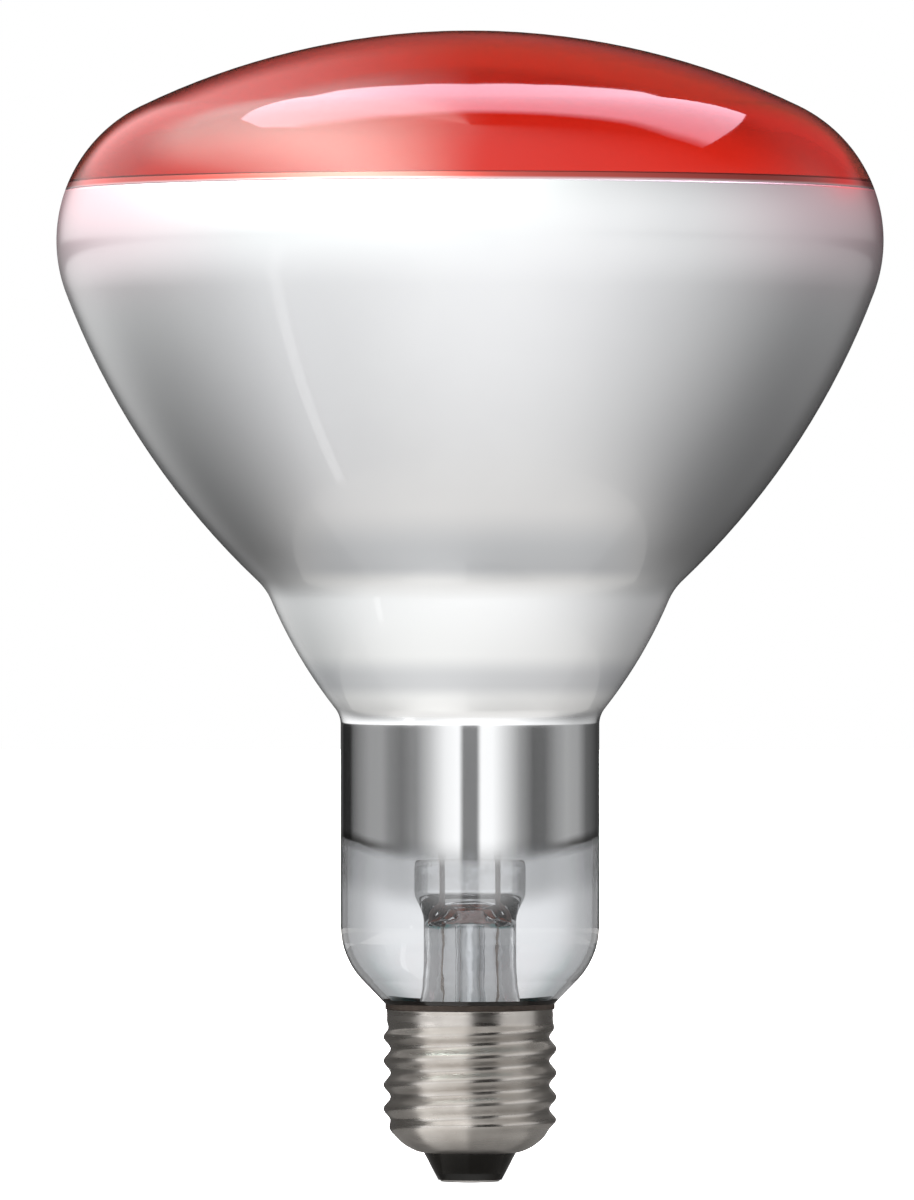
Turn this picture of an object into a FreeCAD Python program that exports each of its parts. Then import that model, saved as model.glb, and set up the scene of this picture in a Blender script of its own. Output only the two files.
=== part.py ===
"""Infrared heat lamp bulb: a blown reflector envelope on a rolled screw cap.

The lamp stands cap down. The origin is the flat tip of the centre contact's
solder, +Z runs along the bulb's axis to the top of the red dome, and the
filament's open side faces -Y. Lengths are in millimetres, angles in degrees.
"""
import FreeCAD, Part
import math
import os
import Sketcher

vec = FreeCAD.Vector
UP = vec(0, 0, 1)
ORIGIN = (-1, 1)
AXIS_INDEX = -2

# driving sizes
DIMENSIONS = {
    # blown envelope
    "bulb_diameter": 125,
    "overall_length": 174,
    "dome_rise": 31.7,
    "shoulder_radius": 22.5,
    "reflector_radius": 116.4,
    "reflector_centre_rise": 33.2,
    "waist_fillet": 9,
    "heel_radius": 71.4,
    "heel_width_share": 0.5712,
    "heel_centre_drop": 26.5,
    "throat_fillet": 4,
    "neck_diameter": 39.1,
    "neck_end_radius": 12,
    "neck_end_rise": 12.6,
    "cone_angle": 44,
    "land_diameter": 22,
    "seal_depth": 3.6,
    "glass_wall": 1,
    # coatings inside the glass
    "film_thickness": 0.12,
    "mirrored_neck_share": 0.582,
    "colour_edge_rise": 7.5,
    # glass stem that carries the wires
    "stem_diameter": 12,
    "stem_wall": 1,
    "flare_rise": 11.4,
    "stem_straight_length": 5.2,
    "press_blend_length": 2.8,
    "press_length": 6.7,
    "press_width": 15.4,
    "press_thickness": 4.6,
    "exhaust_diameter": 4.5,
    "exhaust_bore": 3,
    "exhaust_length": 26.2,
    "exhaust_tip_diameter": 1.5,
    "exhaust_tip_length": 4.5,
    "exhaust_tip_wall": 2.25,
    "rod_diameter": 3,
    "rod_length": 31.3,
    "button_diameter": 6,
    "button_band_reach": 1.2,
    "button_top_rise": 2.4,
    "button_bottom_drop": 3,
    # wires and filament
    "lead_spacing": 8.4,
    "seal_wire_diameter": 0.8,
    "inner_lead_diameter": 1.2,
    "lead_straight_length": 9.3,
    "lead_bend_radius": 12,
    "outer_lead_diameter": 0.4,
    "outer_bend_radius": 1.2,
    "side_lead_clearance": 0.35,
    "side_lead_sag": 3,
    "side_lead_exit_depth": 1.4,
    "centre_lead_slack": 5,
    "centre_lead_low_rise": 1,
    "filament_rise": 12,
    "filament_ring_diameter": 28,
    "filament_coil_diameter": 1.8,
    "filament_gap_angle": 70,
    "support_wire_diameter": 0.5,
    "support_root_reach": 0.75,
    # screw cap
    "cap_rim_height": 26.2,
    "thread_diameter": 26.2,
    "thread_root_diameter": 24.1,
    "thread_pitch": 3.629,
    "thread_crest_drop": 16.92,
    "thread_fade": 2.4,
    "rim_band": 1.6,
    "thread_run_out": 2.7,
    "sheet": 0.3,
    "taper_length": 5,
    "taper_bottom_height": 4.5,
    "taper_end_diameter": 14,
    "rim_notch_width": 0.8,
    "cement_bead": 0.25,
    "insulator_tip_diameter": 9.6,
    "insulator_bottom_height": 0.4,
    "insulator_seat_rise": 2.5,
    "insulator_seat_diameter": 20.4,
    "contact_diameter": 9,
    "contact_bottom_height": 0.15,
    "eyelet_bore": 2.4,
    "solder_diameter": 5,
    "solder_flat_diameter": 3.4,
    "solder_height": 1.5,
    "side_solder_radius": 1.3,
}

# heights and reaches that follow from the driving sizes
DERIVED = {
    "widest_height": "overall_length - dome_rise",
    "reflector_centre_height": "widest_height + reflector_centre_rise",
    "heel_centre_height": "widest_height - heel_centre_drop",
    "heel_centre_offset": "heel_radius - bulb_diameter / 2 * heel_width_share",
    "throat_height": (
        "heel_centre_height - sqrt((heel_radius + throat_fillet) ^ 2"
        " - (neck_diameter / 2 + throat_fillet + heel_centre_offset) ^ 2)"),
    "neck_end_centre_height": "cap_rim_height + neck_end_rise",
    "mirror_edge_height": (
        "throat_height - mirrored_neck_share * (throat_height - neck_end_centre_height)"),
    "colour_edge_height": "widest_height + colour_edge_rise",
    "seal_height": "cap_rim_height - seal_depth",
    "flare_top_height": "seal_height + flare_rise",
    "stem_closed_height": "flare_top_height + stem_straight_length",
    "press_bottom_height": "stem_closed_height + press_blend_length",
    "press_top_height": "press_bottom_height + press_length",
    "exhaust_tip_height": "stem_closed_height - exhaust_length",
    "button_height": "press_top_height + rod_length",
    "lead_bend_height": "press_top_height + lead_straight_length",
    "filament_height": "button_height + filament_rise",
    "side_lead_low_height": "seal_height - side_lead_sag",
    "side_lead_run_radius": "land_diameter / 2 + side_lead_clearance",
    "side_lead_exit_height": "cap_rim_height - side_lead_exit_depth",
    "thread_top_height": "cap_rim_height - rim_band",
    "thread_crest_height": "cap_rim_height - thread_crest_drop",
    "thread_bottom_height": "taper_bottom_height + thread_run_out",
    "taper_top_height": "taper_bottom_height + taper_length",
    "insulator_top_height": "taper_bottom_height + insulator_seat_rise",
    "centre_lead_bend_height": "insulator_top_height + centre_lead_slack",
}
SUPPORT_COUNT = 4
SUPPORT_SPACING = 72
QUARTER_CORNER = 35
THREAD_STEPS_A_TURN = 16
THREAD_STEPS_A_PITCH = 6
TAPER_STEPS = 8
TAPER_FULLNESS = 1.25
SEWING_GAP = 1e-3

# rules that several pieces share
BAND_RADIUS = "(Sizes.thread_diameter + Sizes.thread_root_diameter) / 4"
CONE_LEAN = "Sizes.cone_angle * 1deg"
CONE_TOP = "Sizes.neck_diameter / 2 - Sizes.neck_end_radius * (1 - cos(%s))" % CONE_LEAN
LAND_TOP = (
    "Sizes.neck_end_centre_height - Sizes.neck_end_radius * sin(%s)"
    " - (%s - Sizes.land_diameter / 2) / tan(%s)" % (CONE_LEAN, CONE_TOP, CONE_LEAN))
HALF_GAP = "Sizes.filament_gap_angle / 2 * 1deg"
LEAD_END_ACROSS = "Sizes.filament_ring_diameter / 2 * sin(%s)" % HALF_GAP
LEAD_END_FORWARD = "Sizes.filament_ring_diameter / 2 * cos(%s)" % HALF_GAP

doc = FreeCAD.newDocument("heat_lamp_bulb")
sheet = doc.addObject("Spreadsheet::Sheet", "Sizes")
rules = {alias: str(number) for alias, number in DIMENSIONS.items()}
rules.update({alias: "=" + rule for alias, rule in DERIVED.items()})
for row, (alias, rule) in enumerate(rules.items(), start=1):
    sheet.set("A%d" % row, alias)
    sheet.setAlias("B%d" % row, alias)
    sheet.set("B%d" % row, rule)
doc.recompute()


def size(alias):
    """The sheet's value for one size."""
    return float(sheet.get(alias))


def make_body(label):
    """An empty body whose label names its file."""
    body = doc.addObject("PartDesign::Body", label)
    body.Label = label
    return body


def make_sketch(body, name, role="XZ_Plane"):
    """A sketch on one of the body's own origin planes."""
    sketch = body.newObject("Sketcher::SketchObject", name)
    planes = [item for item in body.Origin.OriginFeatures if item.Role == role]
    sketch.AttachmentSupport = [(planes[0], "")]
    sketch.MapMode = "FlatFace"
    return sketch


def bind(sketch, kind, *refs_and_rule):
    """A dimension whose value follows a rule on the sheet."""
    refs, rule = refs_and_rule[:-1], refs_and_rule[-1]
    value = float(sketch.evalExpression(rule))
    if kind == "Angle":
        value = math.radians(value)
    index = sketch.addConstraint(Sketcher.Constraint(kind, *refs, value))
    sketch.setExpression("Constraints[%d]" % index, rule)


def fix(sketch, kind, *refs):
    """A constraint with no size, such as Tangent or Coincident."""
    sketch.addConstraint(Sketcher.Constraint(kind, *refs))


def add_line(sketch, start, end):
    return sketch.addGeometry(Part.LineSegment(vec(*start, 0), vec(*end, 0)), False)


def add_arc(sketch, centre, radius, start, end):
    """An arc that runs counterclockwise between two directions from its centre."""
    first = math.atan2(start[1] - centre[1], start[0] - centre[0])
    last = math.atan2(end[1] - centre[1], end[0] - centre[0])
    if last <= first:
        last += 2 * math.pi
    circle = Part.Circle(vec(*centre, 0), UP, radius)
    return sketch.addGeometry(Part.ArcOfCircle(circle, first, last), False)


def revolve(body, sketch):
    """A full turn of the sketch about its vertical axis."""
    feature = body.newObject("PartDesign::Revolution", body.Label + "_turn")
    feature.Profile = sketch
    feature.ReferenceAxis = (sketch, ["V_Axis"])
    feature.Angle = 360
    return feature


def turned_body(label, corners):
    """A turned piece whose outline has straight sides.

    Each corner is a pair of rules for its radius and its height. A radius
    of None lies on the axis.
    """
    body = make_body(label)
    sketch = make_sketch(body, label + "_outline")
    places = []
    for radius, height in corners:
        across = 0.0 if radius is None else float(sketch.evalExpression(radius))
        places.append((across, float(sketch.evalExpression(height))))
    count = len(corners)
    sides = [add_line(sketch, places[i], places[(i + 1) % count]) for i in range(count)]
    for i, side in enumerate(sides):
        radius, height = corners[i]
        fix(sketch, "Coincident", side, 2, sides[(i + 1) % count], 1)
        if radius is None:
            fix(sketch, "PointOnObject", side, 1, AXIS_INDEX)
        else:
            bind(sketch, "DistanceX", *ORIGIN, side, 1, radius)
        bind(sketch, "DistanceY", *ORIGIN, side, 1, height)
    revolve(body, sketch)
    return body


def meeting_point(first, first_radius, second, second_radius):
    """The right-hand crossing of two circles, seen in the half-section."""
    across, along = second[0] - first[0], second[1] - first[1]
    gap = math.hypot(across, along)
    near = (first_radius ** 2 - second_radius ** 2 + gap ** 2) / (2 * gap)
    side = math.sqrt(first_radius ** 2 - near ** 2)
    across, along = across / gap, along / gap
    choices = [(first[0] + across * near - along * side * turn,
                first[1] + along * near + across * side * turn) for turn in (1, -1)]
    return max(choices)


def toward(centre, target, distance):
    """The point at a distance from the centre, on the way to the target."""
    gap = math.hypot(target[0] - centre[0], target[1] - centre[1])
    return (centre[0] + (target[0] - centre[0]) * distance / gap,
            centre[1] + (target[1] - centre[1]) * distance / gap)


def outline_places(inset):
    """Where the bulb's outline has its centres and joins, for one inset.

    The outline is the outer glass, moved inwards by the inset. These are the
    starting places from which the sketch's own constraints take over.
    """
    wide, top = size("bulb_diameter") / 2, size("overall_length")
    shoulder = size("shoulder_radius")
    shoulder_at = (wide - shoulder, size("widest_height"))
    rise = top - shoulder_at[1]
    dome = (shoulder_at[0] ** 2 + rise ** 2 - shoulder ** 2) / (2 * (rise - shoulder))
    dome_at = (0, top - dome)
    reflector = size("reflector_radius")
    drop = size("reflector_centre_height") - shoulder_at[1]
    run = math.sqrt((reflector - shoulder) ** 2 - drop ** 2)
    reflector_at = (shoulder_at[0] - run, shoulder_at[1] + drop)
    heel = size("heel_radius")
    heel_at = (-size("heel_centre_offset"), size("heel_centre_height"))
    waist = size("waist_fillet")
    waist_at = meeting_point(reflector_at, reflector + waist, heel_at, heel + waist)
    neck, throat = size("neck_diameter") / 2, size("throat_fillet")
    reach = neck + throat - heel_at[0]
    throat_at = (neck + throat, heel_at[1] - math.sqrt((heel + throat) ** 2 - reach ** 2))
    neck_end = size("neck_end_radius")
    neck_end_at = (neck - neck_end, size("neck_end_centre_height"))
    lean = math.radians(size("cone_angle"))
    cone_start = (neck_end_at[0] + (neck_end - inset) * math.cos(lean),
                  neck_end_at[1] - (neck_end - inset) * math.sin(lean))
    land = size("land_diameter") / 2 - inset
    cone_end = (land, cone_start[1] - (cone_start[0] - land) / math.tan(lean))
    far_right = toward(neck_end_at, (neck, neck_end_at[1]), neck_end - inset)
    return {
        "apex": (0, top - inset),
        "dome": (dome_at, dome - inset),
        "dome_join": toward(dome_at, shoulder_at, dome - inset),
        "shoulder": (shoulder_at, shoulder - inset),
        "shoulder_join": toward(reflector_at, shoulder_at, reflector - inset),
        "reflector": (reflector_at, reflector - inset),
        "waist_top": toward(reflector_at, waist_at, reflector - inset),
        "waist": (waist_at, waist + inset),
        "waist_low": toward(heel_at, waist_at, heel - inset),
        "heel": (heel_at, heel - inset),
        "throat_top": toward(heel_at, throat_at, heel - inset),
        "throat": (throat_at, throat + inset),
        "throat_low": (neck - inset, throat_at[1]),
        "neck_low": far_right,
        "neck_end": (neck_end_at, neck_end - inset),
        "cone_start": cone_start,
        "cone_end": cone_end,
        "land_low": (land, size("seal_height")),
    }


def shoulder_cut(inset):
    """Where the shoulder arc crosses the level of the red front's lower edge."""
    centre, radius = outline_places(inset)["shoulder"]
    level = size("colour_edge_height")
    return (centre[0] + math.sqrt(radius ** 2 - (level - centre[1]) ** 2), level)


def draw_shoulder(sketch, inset_rule, centre, radius, start, end):
    arc = add_arc(sketch, centre, radius, start, end)
    bind(sketch, "DistanceX", *ORIGIN, arc, 3, "Sizes.bulb_diameter / 2 - Sizes.shoulder_radius")
    bind(sketch, "DistanceY", *ORIGIN, arc, 3, "Sizes.widest_height")
    bind(sketch, "Radius", arc, "Sizes.shoulder_radius - (%s)" % inset_rule)
    return arc


def draw_dome(sketch, inset_rule, places, shoulder):
    """The shallow front arc, from the shoulder up to the axis."""
    centre, radius = places["dome"]
    arc = add_arc(sketch, centre, radius, places["dome_join"], places["apex"])
    fix(sketch, "Tangent", shoulder, 2, arc, 1)
    fix(sketch, "PointOnObject", arc, 3, AXIS_INDEX)
    fix(sketch, "PointOnObject", arc, 2, AXIS_INDEX)
    bind(sketch, "DistanceY", *ORIGIN, arc, 2, "Sizes.overall_length - (%s)" % inset_rule)
    return (arc, 2)


def draw_reflector(sketch, inset_rule, places, shoulder):
    """The reflector's long arc, its waist, the heel and the throat fillet."""
    reflector = add_arc(sketch, *places["reflector"], places["waist_top"], places["shoulder_join"])
    waist = add_arc(sketch, *places["waist"], places["waist_top"], places["waist_low"])
    heel = add_arc(sketch, *places["heel"], places["throat_top"], places["waist_low"])
    throat = add_arc(sketch, *places["throat"], places["throat_top"], places["throat_low"])
    fix(sketch, "Tangent", shoulder, 1, reflector, 2)
    fix(sketch, "Tangent", reflector, 1, waist, 1)
    fix(sketch, "Tangent", waist, 2, heel, 2)
    fix(sketch, "Tangent", heel, 1, throat, 1)
    bind(sketch, "Radius", reflector, "Sizes.reflector_radius - (%s)" % inset_rule)
    bind(sketch, "DistanceY", *ORIGIN, reflector, 3, "Sizes.reflector_centre_height")
    bind(sketch, "Radius", waist, "Sizes.waist_fillet + (%s)" % inset_rule)
    bind(sketch, "Radius", heel, "Sizes.heel_radius - (%s)" % inset_rule)
    bind(sketch, "DistanceX", heel, 3, *ORIGIN, "Sizes.heel_centre_offset")
    bind(sketch, "DistanceY", *ORIGIN, heel, 3, "Sizes.heel_centre_height")
    bind(sketch, "Radius", throat, "Sizes.throat_fillet + (%s)" % inset_rule)
    return throat


def draw_neck(sketch, inset_rule, places, throat, low):
    """The straight neck, from the throat fillet down to a given point."""
    neck = add_line(sketch, places["throat_low"], low)
    fix(sketch, "Tangent", throat, 2, neck, 1)
    fix(sketch, "Vertical", neck)
    bind(sketch, "DistanceX", *ORIGIN, neck, 1, "Sizes.neck_diameter / 2 - (%s)" % inset_rule)
    return neck


def draw_neck_end(sketch, inset_rule, places, neck):
    """The round and the cone below the neck, and the land inside the cap."""
    turn = add_arc(sketch, *places["neck_end"], places["cone_start"], places["neck_low"])
    cone = add_line(sketch, places["cone_start"], places["cone_end"])
    land = add_line(sketch, places["cone_end"], places["land_low"])
    fix(sketch, "Tangent", neck, 2, turn, 2)
    fix(sketch, "Tangent", turn, 1, cone, 1)
    fix(sketch, "Coincident", cone, 2, land, 1)
    fix(sketch, "Vertical", land)
    bind(sketch, "Radius", turn, "Sizes.neck_end_radius - (%s)" % inset_rule)
    bind(sketch, "DistanceY", *ORIGIN, turn, 3, "Sizes.neck_end_centre_height")
    bind(sketch, "Angle", land, 1, cone, 2, "180 - Sizes.cone_angle")
    bind(sketch, "DistanceX", *ORIGIN, land, 1, "Sizes.land_diameter / 2 - (%s)" % inset_rule)
    bind(sketch, "DistanceY", *ORIGIN, land, 2, "Sizes.seal_height")
    return (land, 2)


def close_ends(sketch, first, second):
    """A straight line between two free ends of the outline."""
    start = sketch.getPoint(*first)
    end = sketch.getPoint(*second)
    line = add_line(sketch, (start.x, start.y), (end.x, end.y))
    fix(sketch, "Coincident", first[0], first[1], line, 1)
    fix(sketch, "Coincident", second[0], second[1], line, 2)


def shell_outline(label, insets, with_dome, with_reflector, with_neck_end):
    """A turned wall between two insets of the bulb's outline."""
    body = make_body(label)
    sketch = make_sketch(body, label + "_outline")
    tops, bottoms = [], []
    for inset_rule in insets:
        inset = float(sketch.evalExpression(inset_rule))
        places = outline_places(inset)
        cut = shoulder_cut(inset)
        centre, radius = places["shoulder"]
        start = places["shoulder_join"] if with_reflector else cut
        end = places["dome_join"] if with_dome else cut
        shoulder = draw_shoulder(sketch, inset_rule, centre, radius, start, end)
        if with_dome:
            tops.append(draw_dome(sketch, inset_rule, places, shoulder))
        else:
            bind(sketch, "DistanceY", *ORIGIN, shoulder, 2, "Sizes.colour_edge_height")
            tops.append((shoulder, 2))
        if not with_reflector:
            bind(sketch, "DistanceY", *ORIGIN, shoulder, 1, "Sizes.colour_edge_height")
            bottoms.append((shoulder, 1))
            continue
        throat = draw_reflector(sketch, inset_rule, places, shoulder)
        if with_neck_end:
            neck = draw_neck(sketch, inset_rule, places, throat, places["neck_low"])
            bottoms.append(draw_neck_end(sketch, inset_rule, places, neck))
        else:
            low = (places["throat_low"][0], size("mirror_edge_height"))
            neck = draw_neck(sketch, inset_rule, places, throat, low)
            bind(sketch, "DistanceY", *ORIGIN, neck, 2, "Sizes.mirror_edge_height")
            bottoms.append((neck, 2))
    close_ends(sketch, *tops)
    close_ends(sketch, *bottoms)
    revolve(body, sketch)
    return body


def make_bulb():
    """The blown glass, the aluminium film and the red film inside it."""
    film = ("Sizes.glass_wall", "Sizes.glass_wall + Sizes.film_thickness")
    return [
        shell_outline("glass_envelope", ("0", "Sizes.glass_wall"), True, True, True),
        shell_outline("reflector_coating", film, False, True, False),
        shell_outline("red_coating", film, True, False, False),
    ]


def draw_slot(sketch, width_rule, depth_rule):
    """Two straight sides and two round ends, as four joined edges."""
    half_width = float(sketch.evalExpression(width_rule)) / 2
    end = float(sketch.evalExpression(depth_rule)) / 2
    reach = half_width - end
    right = add_arc(sketch, (reach, 0), end, (reach, -end), (reach, end))
    back = add_line(sketch, (reach, end), (-reach, end))
    left = add_arc(sketch, (-reach, 0), end, (-reach, end), (-reach, -end))
    front = add_line(sketch, (-reach, -end), (reach, -end))
    fix(sketch, "Tangent", right, 2, back, 1)
    fix(sketch, "Tangent", back, 2, left, 1)
    fix(sketch, "Tangent", left, 2, front, 1)
    fix(sketch, "Tangent", front, 2, right, 1)
    fix(sketch, "Equal", right, left)
    fix(sketch, "Symmetric", right, 3, left, 3, *ORIGIN)
    fix(sketch, "Horizontal", back)
    bind(sketch, "Radius", right, "(%s) / 2" % depth_rule)
    bind(sketch, "DistanceX", left, 3, right, 3, "(%s) - (%s)" % (width_rule, depth_rule))


def draw_quartered_circle(sketch, diameter_rule):
    """A circle in four arcs, which match the four edges of the slot."""
    radius = float(sketch.evalExpression(diameter_rule)) / 2
    corner = toward((0, 0), (1, math.tan(math.radians(QUARTER_CORNER))), radius)
    corners = [(corner[0], -corner[1]), corner, (-corner[0], corner[1]), (-corner[0], -corner[1])]
    arcs = [add_arc(sketch, (0, 0), radius, corners[i], corners[(i + 1) % 4]) for i in range(4)]
    for arc in arcs:
        fix(sketch, "Coincident", arc, 3, *ORIGIN)
    for i in range(3):
        fix(sketch, "Coincident", arcs[i], 2, arcs[i + 1], 1)
    fix(sketch, "Vertical", arcs[3], 2, arcs[0], 1)
    fix(sketch, "Vertical", arcs[0], 1, arcs[1], 1)
    fix(sketch, "Horizontal", arcs[1], 1, arcs[2], 1)
    fix(sketch, "Vertical", arcs[2], 1, arcs[3], 1)
    bind(sketch, "Radius", arcs[0], "(%s) / 2" % diameter_rule)
    bind(sketch, "DistanceY", *ORIGIN, arcs[1], 1,
         "(%s) / 2 * sin(%d * 1deg)" % (diameter_rule, QUARTER_CORNER))


def lift(sketch, rule):
    """Raises a sketch on the floor plane to a height."""
    sketch.setExpression("AttachmentOffset.Base.z", rule)


def make_stem():
    """The flared glass tube, pressed flat round the wires at its top."""
    body = make_body("stem_glass_blank")
    sketch = make_sketch(body, "flare_outline")
    outer, wall = size("stem_diameter") / 2, size("stem_wall")
    flare_top, seal = size("flare_top_height"), size("seal_height")
    closed, pressed = size("stem_closed_height"), size("press_bottom_height")
    land = size("land_diameter") / 2
    lip = land - size("glass_wall")
    reach, drop = lip - outer, flare_top - seal
    radius = (reach ** 2 + drop ** 2) / (2 * reach)
    centre = (outer + radius, flare_top)
    low = seal - wall
    inner_low = centre[0] - math.sqrt((radius + wall) ** 2 - (flare_top - low) ** 2)
    top = closed + wall
    side = add_line(sketch, (outer, top), (outer, flare_top))
    flare = add_arc(sketch, centre, radius, (outer, flare_top), (lip, seal))
    rim = add_line(sketch, (lip, seal), (land, seal))
    edge = add_line(sketch, (land, seal), (land, low))
    under = add_line(sketch, (land, low), (inner_low, low))
    inside = add_arc(sketch, centre, radius + wall, (outer - wall, flare_top), (inner_low, low))
    bore = add_line(sketch, (outer - wall, flare_top), (outer - wall, closed))
    ceiling = add_line(sketch, (outer - wall, closed), (0, closed))
    axis = add_line(sketch, (0, closed), (0, top))
    crown = add_line(sketch, (0, top), (outer, top))
    fix(sketch, "Vertical", side)
    fix(sketch, "Tangent", side, 2, flare, 1)
    fix(sketch, "Coincident", flare, 2, rim, 1)
    fix(sketch, "Horizontal", rim)
    fix(sketch, "Coincident", rim, 2, edge, 1)
    fix(sketch, "Vertical", edge)
    fix(sketch, "Coincident", edge, 2, under, 1)
    fix(sketch, "Horizontal", under)
    fix(sketch, "Coincident", under, 2, inside, 2)
    fix(sketch, "Coincident", inside, 3, flare, 3)
    fix(sketch, "Tangent", inside, 1, bore, 1)
    fix(sketch, "Vertical", bore)
    fix(sketch, "Coincident", bore, 2, ceiling, 1)
    fix(sketch, "Horizontal", ceiling)
    fix(sketch, "Coincident", ceiling, 2, axis, 1)
    fix(sketch, "Vertical", axis)
    fix(sketch, "PointOnObject", axis, 1, AXIS_INDEX)
    fix(sketch, "Coincident", axis, 2, crown, 1)
    fix(sketch, "Horizontal", crown)
    fix(sketch, "Coincident", crown, 2, side, 1)
    bind(sketch, "DistanceX", *ORIGIN, side, 1, "Sizes.stem_diameter / 2")
    bind(sketch, "DistanceY", *ORIGIN, side, 2, "Sizes.flare_top_height")
    bind(sketch, "DistanceY", *ORIGIN, rim, 1, "Sizes.seal_height")
    bind(sketch, "DistanceX", *ORIGIN, rim, 1, "Sizes.land_diameter / 2 - Sizes.glass_wall")
    bind(sketch, "DistanceX", *ORIGIN, rim, 2, "Sizes.land_diameter / 2")
    bind(sketch, "DistanceY", *ORIGIN, edge, 2, "Sizes.seal_height - Sizes.stem_wall")
    bind(sketch, "DistanceX", *ORIGIN, bore, 1, "Sizes.stem_diameter / 2 - Sizes.stem_wall")
    bind(sketch, "DistanceY", *ORIGIN, bore, 2, "Sizes.stem_closed_height")
    bind(sketch, "DistanceY", *ORIGIN, axis, 2, "Sizes.stem_closed_height + Sizes.stem_wall")
    revolve(body, sketch)
    round_section = make_sketch(body, "round_section", "XY_Plane")
    draw_quartered_circle(round_section, "Sizes.stem_diameter")
    lift(round_section, "Sizes.stem_closed_height + Sizes.stem_wall")
    flat_section = make_sketch(body, "flat_section", "XY_Plane")
    draw_slot(flat_section, "Sizes.press_width", "Sizes.press_thickness")
    lift(flat_section, "Sizes.press_bottom_height")
    blend = body.newObject("PartDesign::AdditiveLoft", "press_blend")
    blend.Profile = round_section
    blend.Sections = [(flat_section, [""])]
    blend.Ruled = True
    press_section = make_sketch(body, "press_section", "XY_Plane")
    draw_slot(press_section, "Sizes.press_width", "Sizes.press_thickness")
    lift(press_section, "Sizes.press_bottom_height")
    press = body.newObject("PartDesign::Pad", "press_block")
    press.Profile = press_section
    press.setExpression("Length", "Sizes.press_top_height - Sizes.press_bottom_height")
    return body


def bent_wire(label, diameter_rule, corners, bend_rules):
    """A round wire along straight runs joined by tangent arcs.

    Each corner is a pair of rules, across and up, in the wire's own upright
    plane. The first run is upright, so the round section lies level.
    """
    body = make_body(label)
    path = make_sketch(body, label + "_path")
    places = []
    for across, up in corners:
        value = 0.0 if across is None else float(path.evalExpression(across))
        places.append((value, float(path.evalExpression(up))))
    bends = [float(path.evalExpression(rule)) for rule in bend_rules]
    trims = []
    for i, bend in enumerate(bends):
        before, here, after = places[i], places[i + 1], places[i + 2]
        entry = math.atan2(here[1] - before[1], here[0] - before[0])
        leave = math.atan2(after[1] - here[1], after[0] - here[0])
        turn = (leave - entry + math.pi) % (2 * math.pi) - math.pi
        trims.append((abs(bend * math.tan(turn / 2)), turn))
    runs = []
    for i in range(len(places) - 1):
        start, end = places[i], places[i + 1]
        if i > 0:
            start = toward(places[i], places[i + 1], trims[i - 1][0])
        if i < len(bends):
            end = toward(places[i + 1], places[i], trims[i][0])
        runs.append(add_line(path, start, end))
    for i, bend in enumerate(bends):
        draw_bend(path, runs[i], runs[i + 1], places[i + 1], corners[i + 1], bend, trims[i][1],
                  bend_rules[i])
    for run, end, (across, up) in ((runs[0], 1, corners[0]), (runs[-1], 2, corners[-1])):
        if across is None:
            fix(path, "PointOnObject", run, end, AXIS_INDEX)
        else:
            bind(path, "DistanceX", *ORIGIN, run, end, across)
        bind(path, "DistanceY", *ORIGIN, run, end, up)
    section = make_sketch(body, label + "_section", "XY_Plane")
    lift(section, corners[0][1])
    radius = float(section.evalExpression(diameter_rule)) / 2
    circle = section.addGeometry(Part.Circle(vec(0, 0, 0), UP, radius), False)
    fix(section, "Coincident", circle, 3, *ORIGIN)
    bind(section, "Diameter", circle, diameter_rule)
    pipe = body.newObject("PartDesign::AdditivePipe", label + "_sweep")
    pipe.Profile = section
    pipe.Spine = path
    return body


def draw_bend(path, run, next_run, place, rules, bend, turn, bend_rule):
    """The tangent arc at one corner, and the corner itself as a guide point."""
    first, second = path.getPoint(run, 2), path.getPoint(next_run, 1)
    inward = vec(-(first - path.getPoint(run, 1)).y, (first - path.getPoint(run, 1)).x, 0)
    inward.normalize()
    centre = first + inward * (bend if turn > 0 else -bend)
    ends = ((first.x, first.y), (second.x, second.y))
    left_turn = turn > 0
    if not left_turn:
        ends = (ends[1], ends[0])
    arc = add_arc(path, (centre.x, centre.y), bend, *ends)
    fix(path, "Tangent", run, 2, arc, 1 if left_turn else 2)
    fix(path, "Tangent", arc, 2 if left_turn else 1, next_run, 1)
    bind(path, "Radius", arc, bend_rule)
    corner = path.addGeometry(Part.Point(vec(*place, 0)), True)
    fix(path, "PointOnObject", corner, 1, run)
    fix(path, "PointOnObject", corner, 1, next_run)
    if rules[0] is None:
        fix(path, "PointOnObject", corner, 1, AXIS_INDEX)
    else:
        bind(path, "DistanceX", *ORIGIN, corner, 1, rules[0])
    bind(path, "DistanceY", *ORIGIN, corner, 1, rules[1])


def stand_at(body, across_rule, turn_rule):
    """Places an upright wire beside the axis and turns its plane."""
    body.Placement = FreeCAD.Placement(vec(0, 0, 0), FreeCAD.Rotation(UP, 0))
    body.setExpression("Placement.Base.x", across_rule)
    body.setExpression("Placement.Rotation.Angle", turn_rule)


def upright_wire(label, across_rule, diameter_rule, low_rule, high_rule):
    """A straight upright wire as a cylinder."""
    wire = doc.addObject("Part::Cylinder", label)
    wire.Label = label
    wire.setExpression("Radius", "(%s) / 2" % diameter_rule)
    wire.setExpression("Height", "(%s) - (%s)" % (high_rule, low_rule))
    wire.setExpression("Placement.Base.x", across_rule)
    wire.setExpression("Placement.Base.z", low_rule)
    return wire


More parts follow.
